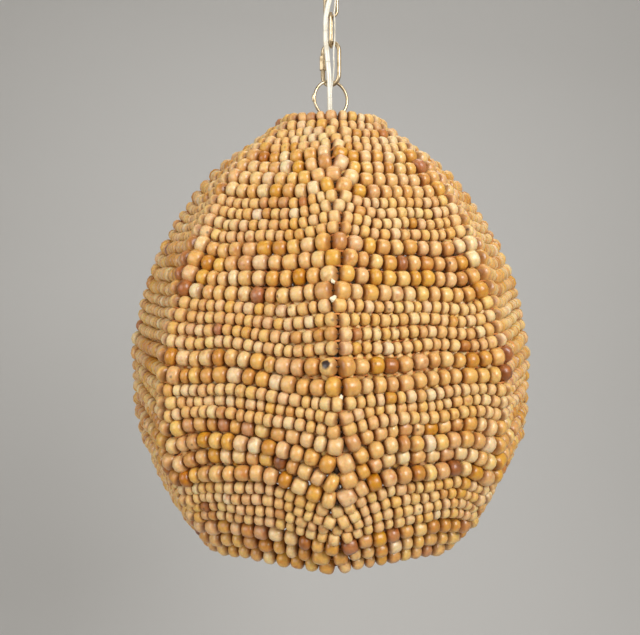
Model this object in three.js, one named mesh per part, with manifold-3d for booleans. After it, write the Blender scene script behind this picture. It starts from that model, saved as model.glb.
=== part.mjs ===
// Egg-shaped beaded pendant light. Strands of wooden beads lie round a wire frame, which hangs on a ring, a quick
// link and two chain links from a ceiling canopy, with a flat cord beside the chain and three bulbs inside.
// Lengths are in millimetres, +Z is up, the ceiling is the plane z = 0 and the viewer stands on the -Y side.
import * as THREE from 'three';
import { mergeVertices } from 'three/addons/utils/BufferGeometryUtils.js';
import Module from 'manifold-3d';

const wasm = await Module();
wasm.setup();

// Clearances: touching pieces keep seatGap, threads and bores keep boreGap on the radius
const seatGap = 0.3;
const boreGap = 0.3;

// Ceiling bracket, stud and canopy
const bracketLength = 104;
const bracketWidth = 22;
const bracketThickness = 3;
const boxScrewInset = 10;
const boxScrewDiameter = 4.2;
const boxScrewHeadDiameter = 8.4;
const boxScrewHeadHeight = 2.6;
const studDiameter = 10;
const canopyDiameter = 130;
const canopyDepth = 25;
const canopySheet = 1.2;
const canopyShoulderShare = 0.56;
const collarDiameter = 24;
const collarHeight = 6;
const loopBossDiameter = 16;
const loopBossHeight = 8.4;
const loopBossFloor = 3;
const canopyLoopRadius = 10;
const canopyLoopWire = 4;
const canopyLoopYaw = 90;

// Chain links and quick link
const linkWire = 3.8;
const linkBowRadius = 7.45;
const linkStraight = 25.3;
const upperLinkYaw = 0;
const lowerLinkYaw = 84;
const quickWire = 5.4;
const quickBowRadius = 11.3;
const quickStraight = 29;
const quickLinkYaw = -30;
const gateGap = 5;
const sleeveLength = 17;
const sleeveAcrossFlats = 8;
const sleeveBoreGap = 0.5;
const sleeveRise = 2.2;

// Hanging ring and hub
const ringWire = 3.6;
const ringRadius = 22;
const ringYaw = 24;
const ringWeldDiameter = 6.4;
const hubEyeWire = 4;
const hubEyeRadius = 7;
const hubEyeYaw = ringYaw + 90;
const hubBossDiameter = 14;
const hubBossHeight = 7.4;
const hubStemDiameter = 8;
const plateThickness = 3;
const plateDiscRadius = 28;
const plateArmWidth = 12;
const plateArmTurn = 22.5;
const plateArms = 4;
const couplingDiameter = 14;
const couplingLength = 21;
const couplingThreadShare = 0.55;

// Cord bushings, alike in the canopy and in the spider plate
const bushingBore = 9.2;
const bushingWall = 1.2;
const bushingFlangeDiameter = 17;
const bushingFlangeHeight = 2;
const bushingReach = 2;

// Wire frame of the shade
const ribCount = 8;
const frameTurn = 1.2;
const ribWire = 4;
const ribInset = 5;
const ribTopLead = 9;
const ribBottomLead = 13;
const hoopWire = 5;
const ribSteps = 16;

// Strands of beads: the height between the first and the last string, and the widest string's radius at a rib
const shadeHeight = 466.6;
const stringRadius = 240.3;
const smallBeadDiameter = 12;
const largeBeadDiameter = 16;
const neckBeadDiameter = 13.2;
const strandRibGap = 0.5;
const rowGap = 0.3;

// Profile of the strings at a rib, from the first row down: share of the height, share of the widest radius
const profileShares = [
  [0, 0.272], [0.037, 0.379], [0.099, 0.534], [0.152, 0.637], [0.206, 0.72], [0.278, 0.807],
  [0.372, 0.891], [0.463, 0.948], [0.551, 0.984], [0.654, 1], [0.75, 0.984], [0.821, 0.949],
  [0.891, 0.889], [0.939, 0.829], [0.971, 0.776], [1, 0.716],
];

// Between two ribs a strand lies flatter than a circle, by a share of its radius, and leaves the rib's height by
// a share of the shade's height. Both depend on how far down it lies: it sags near the top and climbs further down,
// and the last rows lie level and nearly round
const panelFlatShares = [[0, 0.06], [0.92, 0.06], [1, 0.03]];
const sagReachShare = 0.38;
const sagShares = [
  [0, 0], [0.11, 0.011], [0.18, 0.019], [0.3, 0.016], [0.42, 0.011], [0.52, 0.005], [0.59, 0],
  [0.66, -0.012], [0.73, -0.026], [0.81, -0.043], [0.88, -0.032], [0.94, -0.014], [1, 0.001],
];

// Bands of rows from the top down: bead size, rows in each solid of the band, how loosely the rows lie
const bands = [
  { bead: neckBeadDiameter, solids: [3, 2], looseShare: 1.17 },
  { bead: largeBeadDiameter, solids: [2, 2], looseShare: 1.08 },
  { bead: smallBeadDiameter, solids: [2, 2], looseShare: 1.1 },
  { bead: largeBeadDiameter, solids: [2, 2], looseShare: 1.04 },
  { bead: smallBeadDiameter, solids: [2, 2], looseShare: 1.1 },
  { bead: largeBeadDiameter, solids: [2], looseShare: 1.17 },
  { bead: smallBeadDiameter, solids: [3], looseShare: 1.1 },
  { bead: largeBeadDiameter, solids: [2, 2], looseShare: 1.06 },
  { bead: smallBeadDiameter, solids: [2, 2], looseShare: 0.93 },
  { bead: largeBeadDiameter, solids: [3], looseShare: 1.23 },
];

// A strand's solid: where its flattened crest and the valleys between rows lie, and how far it reaches over a loose
// row's edge, in shares of the bead's radius, and where round a panel it is built
const crestHalfShare = 0.42;
const crestOutShare = 0.95;
const valleyOutShare = 0.1;
const edgeReachShare = 1.04;
const panelStationShares = [0, 0.28, 0.72];

// The first rows are drawn together round the neck and stand proud there, the first row most
const crownRise = 4.2;
const crownRows = 5;

// Lights
const stemDiameter = 10;
const stemBore = 7.6;
const stemLength = 134;
const clusterDiameter = 78;
const clusterHeight = 24;
const clusterOnStemShare = 0.11;
const clusterNutDiameter = 18;
const clusterNutHeight = 13;
const clusterNutFloor = 3;
const socketCount = 3;
const socketCircleRadius = 26;
const socketTurn = 30;
const socketDiameter = 26;
const socketLength = 48;
const socketBoreDepth = 21;
const bulbBaseDiameter = 12.4;
const bulbBaseLength = 20;
const bulbBaseShow = 0.6;
const bulbGlassDiameter = 35;
const bulbGlassLength = 78;

// Cords and their routes, which run down in front of the chain, through the hub and beside the stem
const cordWidth = 6.2;
const cordThickness = 3.3;
const earthWireDiameter = 2;
const cordRoute = [
  [-1.5, -22, -12], [-1.5, -22, -22], [-1.5, -22, -32], [-1.2, -18, -44], [-0.9, -11.5, -58], [-1, -7.2, -71],
  [-4, -6, -84], [-6.3, -5, -97], [-6.6, -4.6, -112], [-6.4, -5.2, -126], [-5.4, -7.4, -136], [-4, -8.2, -150],
  [-2.6, -8.2, -165], [-2, -8.4, -176], [-1.6, -9.2, -188], [-1.4, -11, -200], [-1.3, -13.6, -211],
  [-1.2, -15.5, -221], [-1.2, -16, -231], [-1.2, -16, -246], [-1.2, -16, -285], [-1.2, -16, -325],
  [-1.2, -16, -354],
];
const earthWireRoute = [
  [-1.5, -18.9, -12], [-1.5, -18.9, -22], [-1.5, -18.9, -32], [0.5, -14.8, -43], [3.8, -12, -52], [5.2, -9, -61],
  [5.4, -6.8, -71], [4.6, -5.4, -84], [3.6, -4.9, -92], [4.4, -3.8, -101], [4.5, -3.8, -113], [4.5, -5.8, -121],
  [4.3, -7.8, -127], [3.4, -8.6, -134], [3.2, -8.6, -145], [3.6, -8.6, -155], [3, -7, -165], [2, -5.6, -174],
  [1, -5.2, -182], [0.4, -5.8, -192], [-0.2, -7.6, -202], [-0.8, -10.2, -212], [-1.2, -12.3, -222],
  [-1.2, -12.9, -232], [-1.2, -12.9, -246], [-1.2, -12.9, -285], [-1.2, -12.9, -325], [-1.2, -12.9, -354],
];

// How finely round things are built
const wireSides = 8;
const ribSides = 6;
const canopySides = 28;
const turnedSides = 18;
const screwSides = 10;
const bowSteps = 8;
const ringSteps = 24;
const hoopSteps = 32;
const hoopSides = 6;
const cordSteps = 52;

// Materials
const material = (color, roughness, metalness) =>
  new THREE.MeshStandardMaterial({ color, roughness, metalness });
const antiqueBrass = () => material(0xb59a6b, 0.38, 0.9);
const darkIron = () => material(0x3a3028, 0.6, 0.8);
const paleWood = () => material(0xd2a873, 0.55, 0);
const orangeWood = () => material(0xc48a4e, 0.45, 0);
const ivoryPlastic = () => material(0xe6dfcc, 0.4, 0);
const frostedGlass = () => material(0xf4efe4, 0.2, 0);
const zincSteel = () => material(0xa9a9a4, 0.45, 0.9);

const radians = THREE.MathUtils.degToRad;

// Heights of the hanging chain, each worked out from the piece above
const canopyBottom = -(seatGap + canopyDepth);
const collarBottom = canopyBottom - seatGap - collarHeight;
const loopBossTop = collarBottom - seatGap;
const loopBossBottom = loopBossTop - loopBossHeight;
const canopyEyeCentre = loopBossBottom - canopyLoopRadius + canopyLoopWire / 2;
const canopyEyeBottom = canopyEyeCentre - canopyLoopRadius;
const wireAbove = (wireCentre, lowerWire, upperWire) => wireCentre + (lowerWire + upperWire) / 2 + seatGap;
const linkSpan = linkStraight + 2 * linkBowRadius;
const upperLinkTop = wireAbove(canopyEyeBottom, canopyLoopWire, linkWire);
const upperLinkBottom = upperLinkTop - linkSpan;
const lowerLinkTop = wireAbove(upperLinkBottom, linkWire, linkWire);
const lowerLinkBottom = lowerLinkTop - linkSpan;
const quickSpan = quickStraight + 2 * quickBowRadius;
const quickLinkTop = wireAbove(lowerLinkBottom, linkWire, quickWire);
const quickLinkBottom = quickLinkTop - quickSpan;
const ringTop = wireAbove(quickLinkBottom, quickWire, ringWire);
const ringBottom = ringTop - 2 * ringRadius;
const hubEyeTop = wireAbove(ringBottom, ringWire, hubEyeWire);
const hubEyeCentre = hubEyeTop - hubEyeRadius;
const hubBossTop = hubEyeCentre - hubEyeRadius + hubEyeWire / 2;
const hubBossBottom = hubBossTop - hubBossHeight;
const plateTop = hubBossBottom - seatGap;
const plateBottom = plateTop - plateThickness;
const topHoopCentre = plateTop + seatGap + hoopWire / 2;
const couplingTop = plateBottom - seatGap;
const hubStemBottom = couplingTop - couplingLength * couplingThreadShare;
const stemTop = hubStemBottom - seatGap;
const stemBottom = stemTop - stemLength;
const clusterTop = stemBottom + stemLength * clusterOnStemShare + clusterHeight / 2;
const clusterBottom = clusterTop - clusterHeight;
const socketTop = clusterBottom - seatGap;
const socketBottom = socketTop - socketLength;

// Profile of the strings: a smooth curve through its shares, measured along its length, and straight past its ends
const profileCurve = new THREE.SplineCurve(
  profileShares.map(([down, out]) => new THREE.Vector2(out * stringRadius, -down * shadeHeight)),
);
profileCurve.arcLengthDivisions = 600;
const profileLength = profileCurve.getLength();

function onProfile(arc, outward, radiusShare) {
  const share = THREE.MathUtils.clamp(arc / profileLength, 0, 1);
  const point = profileCurve.getPointAt(share);
  const along = profileCurve.getTangentAt(share);
  point.addScaledVector(along, arc - share * profileLength);
  return { radius: point.x * radiusShare - along.y * outward, drop: point.y + along.x * outward };
}

const topHoopOnProfile = onProfile(-(ribTopLead + seatGap + hoopWire / 2), -ribInset, 1);
const bottomHoopOnProfile = onProfile(profileLength + ribBottomLead + seatGap + hoopWire / 2, -ribInset, 1);
const shadeTop = topHoopCentre - topHoopOnProfile.drop;

function atAzimuth({ radius, drop }, azimuth) {
  return new THREE.Vector3(radius * Math.cos(azimuth), radius * Math.sin(azimuth), shadeTop + drop);
}

const ribAzimuth = (index) => radians(-90 + frameTurn + (index * 360) / ribCount);

// Rows: each string's place along the profile, spread by bead size and looseness over the whole profile
const rows = bands.flatMap(({ bead, solids, looseShare }) =>
  Array.from({ length: solids.reduce((sum, count) => sum + count) }, () => ({ bead, pitch: bead * looseShare })),
);
rows.forEach((row, index) => {
  const before = rows[index - 1];
  row.arc = index === 0 ? 0 : before.arc + (before.pitch + row.pitch) / 2;
});
const looseLength = rows.at(-1).arc;
rows.forEach((row) => {
  row.arc *= profileLength / looseLength;
});

function shareAt(table, place) {
  const upper = table.findIndex(([at]) => at >= place);
  if (upper <= 0) {
    return table.at(upper)[1];
  }
  const [startAt, startShare] = table[upper - 1];
  const [endAt, endShare] = table[upper];
  return startShare + ((endShare - startShare) * (place - startAt)) / (endAt - startAt);
}

function strandArc(row, panelShare) {
  const fromRib = Math.min(panelShare, 1 - panelShare);
  const reach = Math.sin((Math.PI / 2) * Math.min(1, fromRib / sagReachShare));
  return row.arc + shadeHeight * shareAt(sagShares, row.arc / profileLength) * reach;
}

function strandRadiusShare(arc, panelShare) {
  return 1 - shareAt(panelFlatShares, arc / profileLength) * 4 * panelShare * (1 - panelShare);
}

// Geometry helpers
function loopSolid(sections) {
  const sides = sections[0].length;
  const positions = sections.flat().flatMap((point) => point.toArray());
  const index = [];
  sections.forEach((_, here) => {
    const next = (here + 1) % sections.length;
    for (let side = 0; side < sides; side += 1) {
      const beside = (side + 1) % sides;
      const a = here * sides + side;
      const b = next * sides + side;
      const c = next * sides + beside;
      const d = here * sides + beside;
      index.push(a, c, b, a, d, c);
    }
  });
  const geometry = new THREE.BufferGeometry();
  geometry.setAttribute('position', new THREE.Float32BufferAttribute(positions, 3));
  geometry.setIndex(index);
  geometry.computeVertexNormals();
  return geometry;
}

function polygonShape(radius, sides, turn = 0) {
  const corners = Array.from({ length: sides }, (_, index) => {
    const angle = turn + (index * 2 * Math.PI) / sides;
    return new THREE.Vector2(radius * Math.cos(angle), radius * Math.sin(angle));
  });
  return new THREE.Shape(corners);
}

function ovalShape(width, height, sides) {
  const corners = Array.from({ length: sides }, (_, index) => {
    const angle = (index * 2 * Math.PI) / sides;
    return new THREE.Vector2((width / 2) * Math.cos(angle), (height / 2) * Math.sin(angle));
  });
  return new THREE.Shape(corners);
}

function wireAlong(points, shape, steps) {
  const path = new THREE.CatmullRomCurve3(points, false, 'centripetal');
  return new THREE.ExtrudeGeometry(shape, { steps, extrudePath: path, bevelEnabled: false });
}

function ovalLoop(bowRadius, straight, wire) {
  const sections = [];
  for (const [start, lift] of [[0, straight / 2], [Math.PI, -straight / 2]]) {
    for (let step = 0; step <= bowSteps; step += 1) {
      const angle = start + (Math.PI * step) / bowSteps;
      const out = new THREE.Vector3(Math.cos(angle), 0, Math.sin(angle));
      const across = new THREE.Vector3(0, 1, 0);
      const centre = out.clone().multiplyScalar(bowRadius);
      centre.z += lift;
      sections.push(Array.from({ length: wireSides }, (_, side) => {
        const turn = (side * 2 * Math.PI) / wireSides;
        return centre.clone()
          .addScaledVector(out, (wire / 2) * Math.cos(turn))
          .addScaledVector(across, (wire / 2) * Math.sin(turn));
      }));
    }
  }
  return loopSolid(sections);
}

function standingRing(radius, wire) {
  return new THREE.TorusGeometry(radius, wire / 2, wireSides, ringSteps).rotateX(Math.PI / 2);
}

function turned(profile, segments = turnedSides) {
  const points = profile.map(([radius, height]) => new THREE.Vector2(radius, height));
  return new THREE.LatheGeometry(points, segments).rotateX(Math.PI / 2);
}

function tube(outerRadius, innerRadius, top, bottom, segments = turnedSides) {
  return turned([
    [innerRadius, bottom], [outerRadius, bottom], [outerRadius, top], [innerRadius, top], [innerRadius, bottom],
  ], segments);
}

function rod(radius, top, bottom, segments = turnedSides) {
  return new THREE.CylinderGeometry(radius, radius, top - bottom, segments)
    .rotateX(Math.PI / 2)
    .translate(0, 0, (top + bottom) / 2);
}

function slab(shape, top, thickness) {
  return new THREE.ExtrudeGeometry(shape, { depth: thickness, bevelEnabled: false, curveSegments: 12 })
    .translate(0, 0, top - thickness);
}

function toSolid(geometry) {
  const bare = geometry.clone();
  bare.deleteAttribute('normal');
  bare.deleteAttribute('uv');
  const merged = mergeVertices(bare);
  return new wasm.Manifold(new wasm.Mesh({
    numProp: 3,
    vertProperties: merged.attributes.position.array,
    triVerts: new Uint32Array(merged.index.array),
  }));
}

function fromSolid(solid) {
  const { vertProperties, triVerts } = solid.getMesh();
  const geometry = new THREE.BufferGeometry();
  geometry.setAttribute('position', new THREE.BufferAttribute(new Float32Array(vertProperties), 3));
  geometry.setIndex(new THREE.BufferAttribute(new Uint32Array(triVerts), 1));
  const flat = geometry.toNonIndexed();
  flat.computeVertexNormals();
  return flat;
}

const joined = (...geometries) =>
  fromSolid(geometries.map(toSolid).reduce((whole, piece) => whole.add(piece)));

const cutFrom = (geometry, ...tools) =>
  fromSolid(tools.map(toSolid).reduce((whole, tool) => whole.subtract(tool), toSolid(geometry)));

const pendant = new THREE.Group();

function addPiece(name, geometry, finish, parent = pendant) {
  const mesh = new THREE.Mesh(geometry, finish);
  mesh.name = name;
  parent.add(mesh);
  return mesh;
}

function yawedGroup(yaw, height) {
  const group = new THREE.Group();
  group.rotation.z = radians(yaw);
  group.position.z = height;
  pendant.add(group);
  return group;
}

// Ceiling bracket: a flat bar with a hole for each box screw near its ends
const boxScrewPlace = bracketLength / 2 - boxScrewInset;

function bracketShape() {
  const shape = new THREE.Shape([
    new THREE.Vector2(-bracketLength / 2, -bracketWidth / 2),
    new THREE.Vector2(bracketLength / 2, -bracketWidth / 2),
    new THREE.Vector2(bracketLength / 2, bracketWidth / 2),
    new THREE.Vector2(-bracketLength / 2, bracketWidth / 2),
  ]);
  for (const side of [-1, 1]) {
    const hole = polygonShape(boxScrewDiameter / 2 + boreGap, turnedSides);
    const points = hole.getPoints().map((point) => new THREE.Vector2(point.x + side * boxScrewPlace, point.y));
    shape.holes.push(new THREE.Path(points));
  }
  return shape;
}
addPiece('ceiling_bracket', slab(bracketShape(), 0, bracketThickness), zincSteel());

// Box screws: pan heads under the bracket, shanks through it, flush with its top
function boxScrew() {
  const headTop = -bracketThickness - seatGap;
  const headBottom = headTop - boxScrewHeadHeight;
  return turned([
    [0, headBottom], [boxScrewHeadDiameter / 2, headBottom], [boxScrewHeadDiameter / 2, headTop],
    [boxScrewDiameter / 2, headTop], [boxScrewDiameter / 2, 0], [0, 0],
  ], screwSides);
}
[-1, 1].forEach((side, index) => {
  const screw = addPiece(`box_screw_${index + 1}`, boxScrew(), zincSteel());
  screw.position.x = side * boxScrewPlace;
});

// Stud: welded under the bracket's middle, it carries the canopy and the loop
const studTop = -bracketThickness - seatGap;
const studBottom = loopBossBottom + loopBossFloor + seatGap;
addPiece('hanging_stud', rod(studDiameter / 2, studTop, studBottom), zincSteel());

// Canopy: a shallow pressed shell, open at the back, with a hole for the stud and one for the cord's bushing
function canopyShell() {
  const rim = canopyDiameter / 2;
  const shoulder = rim * canopyShoulderShare;
  const bend = (share) => shoulder + (rim - shoulder) * share;
  const outer = [
    [shoulder, canopyBottom], [bend(0.5), canopyBottom + canopyDepth * 0.14],
    [bend(0.8), canopyBottom + canopyDepth * 0.42], [bend(0.96), canopyBottom + canopyDepth * 0.8],
    [rim, -seatGap],
  ];
  const inner = outer.map(([radius, height], index) => [
    radius - canopySheet * (index === 0 ? 0 : 1),
    index === outer.length - 1 ? height : height + canopySheet,
  ]).reverse();
  const hole = studDiameter / 2 + boreGap;
  const shell = turned([
    [hole, canopyBottom], ...outer, ...inner, [hole, canopyBottom + canopySheet], [hole, canopyBottom],
  ], canopySides);
  const bushingHole = rod(bushingBore / 2 + bushingWall + boreGap, 0, canopyBottom * 2, turnedSides)
    .translate(cordRoute[0][0], cordRoute[0][1], 0);
  return cutFrom(shell, bushingHole);
}
addPiece('canopy_shell', canopyShell(), antiqueBrass());

// Collar nut: it holds the canopy up on the stud
const collarRing = tube(collarDiameter / 2, studDiameter / 2 + boreGap, canopyBottom - seatGap, collarBottom);
addPiece('collar_nut', collarRing, antiqueBrass());

// Canopy loop: an eye under a threaded boss that is screwed on the stud
function canopyLoop() {
  const bore = studDiameter / 2 + boreGap;
  const boreFloor = loopBossBottom + loopBossFloor;
  const boss = turned([
    [0, loopBossBottom], [loopBossDiameter / 2, loopBossBottom], [loopBossDiameter / 2, loopBossTop],
    [bore, loopBossTop], [bore, boreFloor], [0, boreFloor],
  ]);
  const eye = standingRing(canopyLoopRadius, canopyLoopWire)
    .rotateZ(radians(canopyLoopYaw))
    .translate(0, 0, canopyEyeCentre);
  return joined(boss, fromSolid(toSolid(eye).subtract(toSolid(rod(bore, loopBossTop, boreFloor)))));
}
addPiece('canopy_loop', canopyLoop(), antiqueBrass());

// Bushing: a plastic sleeve with a flange, pushed into a hole from below
function bushing(flangeTop) {
  const bore = bushingBore / 2;
  const sleeve = bore + bushingWall;
  const sleeveTop = flangeTop + bushingReach;
  const flangeBottom = flangeTop - bushingFlangeHeight;
  return turned([
    [bore, flangeBottom], [bushingFlangeDiameter / 2, flangeBottom], [bushingFlangeDiameter / 2, flangeTop],
    [sleeve, flangeTop], [sleeve, sleeveTop], [bore, sleeveTop], [bore, flangeBottom],
  ]);
}
const canopyBushing = addPiece('canopy_bushing', bushing(canopyBottom - seatGap), ivoryPlastic());
canopyBushing.position.set(cordRoute[0][0], cordRoute[0][1], 0);

// Chain links: oval wire loops, the upper one facing the viewer and the lower one edge-on
const chainLink = () => ovalLoop(linkBowRadius, linkStraight, linkWire);
const upperLinkGroup = yawedGroup(upperLinkYaw, (upperLinkTop + upperLinkBottom) / 2);
addPiece('chain_link_upper', chainLink(), antiqueBrass(), upperLinkGroup);
const lowerLinkGroup = yawedGroup(lowerLinkYaw, (lowerLinkTop + lowerLinkBottom) / 2);
addPiece('chain_link_lower', chainLink(), antiqueBrass(), lowerLinkGroup);

// Quick link: an oval of wire with a gate in its left leg, and the threaded sleeve that closes the gate
const gateTop = sleeveRise - sleeveLength / 2 + gateGap + seatGap;
const gateBottom = gateTop - gateGap;
function quickLinkBody() {
  const points = [new THREE.Vector3(-quickBowRadius, 0, gateTop)];
  for (const [start, lift] of [[Math.PI, quickStraight / 2], [2 * Math.PI, -quickStraight / 2]]) {
    for (let step = 0; step <= bowSteps; step += 1) {
      const angle = start - (Math.PI * step) / bowSteps;
      points.push(new THREE.Vector3(quickBowRadius * Math.cos(angle), 0, quickBowRadius * Math.sin(angle) + lift));
    }
  }
  points.push(new THREE.Vector3(-quickBowRadius, 0, gateBottom));
  return wireAlong(points, polygonShape(quickWire / 2, wireSides), bowSteps * 4);
}
const quickLinkGroup = yawedGroup(quickLinkYaw, (quickLinkTop + quickLinkBottom) / 2);
addPiece('quick_link', quickLinkBody(), antiqueBrass(), quickLinkGroup);

function threadedSleeve() {
  const hexagon = polygonShape(sleeveAcrossFlats / Math.sqrt(3), 6);
  hexagon.holes.push(new THREE.Path(polygonShape(quickWire / 2 + sleeveBoreGap, turnedSides).getPoints()));
  return slab(hexagon, sleeveLength / 2, sleeveLength);
}
const sleeve = addPiece('quick_link_sleeve', threadedSleeve(), antiqueBrass(), quickLinkGroup);
sleeve.position.set(-quickBowRadius, 0, sleeveRise);

// Hanging ring: welded shut on its left side, where the weld stands proud
function hangingRing() {
  const weld = new THREE.SphereGeometry(ringWeldDiameter / 2, wireSides, wireSides / 2)
    .translate(-ringRadius, 0, 0);
  return joined(standingRing(ringRadius, ringWire), weld);
}
const ringGroup = yawedGroup(ringYaw, (ringTop + ringBottom) / 2);
addPiece('hanging_ring', hangingRing(), antiqueBrass(), ringGroup);

// Hub loop: the eye that the ring carries, on a boss with a threaded stem through the spider plate
function hubLoop() {
  const eye = standingRing(hubEyeRadius, hubEyeWire)
    .rotateZ(radians(hubEyeYaw))
    .translate(0, 0, hubEyeCentre);
  const boss = rod(hubBossDiameter / 2, hubBossTop, hubBossBottom);
  const stem = rod(hubStemDiameter / 2, hubBossTop, hubStemBottom);
  return joined(eye, boss, stem);
}
addPiece('hub_loop', hubLoop(), darkIron());

// Spider plate: a disc with four arms under the top hoop, with holes for the stem and for the cord's bushing
function spiderPlate() {
  const reach = topHoopOnProfile.radius + hoopWire / 2;
  const arms = Array.from({ length: plateArms }, (_, index) => {
    const arm = new THREE.BoxGeometry(reach, plateArmWidth, plateThickness)
      .translate(reach / 2, 0, (plateTop + plateBottom) / 2)
      .rotateZ(radians(plateArmTurn + (index * 360) / plateArms));
    return arm;
  });
  const disc = rod(plateDiscRadius, plateTop, plateBottom);
  const stemHole = rod(hubStemDiameter / 2 + boreGap, plateTop + plateThickness, plateBottom - plateThickness);
  const cordHole = rod(bushingBore / 2 + bushingWall + boreGap, plateTop + plateThickness,
    plateBottom - plateThickness)
    .translate(cordRoute.at(-1)[0], cordRoute.at(-1)[1], 0);
  return cutFrom(joined(disc, ...arms), stemHole, cordHole);
}
addPiece('spider_plate', spiderPlate(), darkIron());
const hubBushing = addPiece('hub_bushing', bushing(plateBottom - seatGap), ivoryPlastic());
hubBushing.position.set(cordRoute.at(-1)[0], cordRoute.at(-1)[1], 0);

// Coupling: it holds the plate on the hub loop's stem and carries the stem tube
function stemCoupling() {
  const upperBore = hubStemDiameter / 2 + boreGap;
  const lowerBore = stemDiameter / 2 + boreGap;
  const bottom = couplingTop - couplingLength;
  return turned([
    [lowerBore, bottom], [couplingDiameter / 2, bottom], [couplingDiameter / 2, couplingTop],
    [upperBore, couplingTop], [upperBore, hubStemBottom], [lowerBore, hubStemBottom], [lowerBore, bottom],
  ]);
}
addPiece('stem_coupling', stemCoupling(), darkIron());

// Frame: top and bottom hoops, and the ribs whose ends meet them
function hoop(onProfileAt) {
  return new THREE.TorusGeometry(onProfileAt.radius, hoopWire / 2, hoopSides, hoopSteps)
    .translate(0, 0, shadeTop + onProfileAt.drop);
}
addPiece('top_hoop', hoop(topHoopOnProfile), darkIron());
addPiece('bottom_hoop', hoop(bottomHoopOnProfile), darkIron());

function rib(index) {
  const reach = profileLength + ribTopLead + ribBottomLead;
  const points = Array.from({ length: ribSteps + 1 }, (_, step) =>
    atAzimuth(onProfile((reach * step) / ribSteps - ribTopLead, -ribInset, 1), ribAzimuth(index)));
  return wireAlong(points, polygonShape(ribWire / 2, ribSides), ribSteps);
}
for (let index = 0; index < ribCount; index += 1) {
  addPiece(`rib_${index + 1}`, rib(index), darkIron());
}

// Bead rows: each solid holds two or three neighbouring strands as rounded crests round the whole shade
function boundaryArc(arcs, index) {
  if (index === 0) {
    return arcs[0] - rows[0].bead / 2;
  }
  if (index === rows.length) {
    return arcs.at(-1) + rows.at(-1).bead / 2;
  }
  const above = rows[index - 1].bead;
  const below = rows[index].bead;
  return (arcs[index - 1] * below + arcs[index] * above) / (above + below);
}

function strandSection(first, count, panelShare, azimuth) {
  const arcs = rows.map((row) => strandArc(row, panelShare));
  const innerOut = -(ribInset - ribWire / 2 - strandRibGap);
  const reachOf = (index) => (rows[index].bead / 2) * edgeReachShare;
  const edge = (index) => {
    if (index === first) {
      return Math.max(boundaryArc(arcs, index) + rowGap / 2, arcs[index] - reachOf(index));
    }
    if (index === first + count) {
      return Math.min(boundaryArc(arcs, index) - rowGap / 2, arcs[index - 1] + reachOf(index - 1));
    }
    return boundaryArc(arcs, index);
  };
  const crown = (index) => crownRise * Math.max(0, 1 - index / crownRows);
  const outer = [];
  const inner = [];
  for (let index = first; index < first + count; index += 1) {
    const radius = rows[index].bead / 2;
    outer.push([edge(index), radius * valleyOutShare + crown(index)]);
    outer.push([arcs[index] - radius * crestHalfShare, radius * crestOutShare + crown(index)]);
    outer.push([arcs[index] + radius * crestHalfShare, radius * crestOutShare + crown(index)]);
    inner.unshift([edge(index), innerOut]);
  }
  const last = first + count - 1;
  outer.push([edge(first + count), (rows[last].bead / 2) * valleyOutShare + crown(last)]);
  inner.unshift([edge(first + count), innerOut]);
  return [...outer, ...inner].map(([arc, out]) => {
    const place = onProfile(arc, out, strandRadiusShare(arc, panelShare));
    return atAzimuth(place, azimuth);
  });
}

function strandSolid(first, count) {
  const sections = [];
  for (let panel = 0; panel < ribCount; panel += 1) {
    for (const share of panelStationShares) {
      const azimuth = ribAzimuth(panel) + (share * 2 * Math.PI) / ribCount;
      sections.push(strandSection(first, count, share, azimuth));
    }
  }
  return loopSolid(sections);
}

const twoDigits = (number) => String(number).padStart(2, '0');
let firstRow = 0;
bands.forEach(({ bead, solids }) => {
  solids.forEach((count) => {
    const name = `bead_rows_${twoDigits(firstRow + 1)}_${twoDigits(firstRow + count)}`;
    const finish = bead === largeBeadDiameter ? orangeWood() : paleWood();
    addPiece(name, strandSolid(firstRow, count), finish);
    firstRow += count;
  });
});

// Stem tube and cluster: the tube runs through the cluster body, and the cluster nut holds the body from below
addPiece('stem_tube', tube(stemDiameter / 2, stemBore / 2, stemTop, stemBottom), darkIron());

function clusterBody() {
  const hole = stemDiameter / 2 + boreGap;
  const outer = clusterDiameter / 2;
  const shoulder = clusterHeight * 0.3;
  return turned([
    [hole, clusterBottom], [outer, clusterBottom], [outer, clusterTop - shoulder],
    [outer * 0.86, clusterTop - shoulder * 0.3], [outer * 0.7, clusterTop], [hole, clusterTop],
    [hole, clusterBottom],
  ]);
}
addPiece('cluster_body', clusterBody(), darkIron());

function clusterNut() {
  const top = clusterBottom - seatGap;
  const bottom = top - clusterNutHeight;
  const bore = stemDiameter / 2 + boreGap;
  const boreFloor = Math.min(bottom + clusterNutFloor, stemBottom - seatGap);
  return turned([
    [0, bottom], [clusterNutDiameter * 0.3, bottom], [clusterNutDiameter / 2, bottom + clusterNutHeight * 0.4],
    [clusterNutDiameter / 2, top], [bore, top], [bore, boreFloor], [0, boreFloor],
  ]);
}
addPiece('cluster_nut', clusterNut(), darkIron());

// Sockets and bulbs: three sockets hang under the cluster body, each with a candle bulb screwed in from below
function socket() {
  const bore = bulbBaseDiameter / 2 + boreGap;
  const boreFloor = socketBottom + socketBoreDepth;
  return turned([
    [0, boreFloor], [bore, boreFloor], [bore, socketBottom], [socketDiameter / 2, socketBottom],
    [socketDiameter / 2, socketTop - socketDiameter * 0.12], [socketDiameter * 0.38, socketTop], [0, socketTop],
  ]);
}

function bulbBase() {
  const top = socketBottom - bulbBaseShow + bulbBaseLength;
  const bottom = socketBottom - bulbBaseShow;
  const radius = bulbBaseDiameter / 2;
  return turned([
    [0, bottom], [radius, bottom], [radius, top - radius * 0.5], [radius * 0.4, top], [0, top],
  ]);
}

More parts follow.
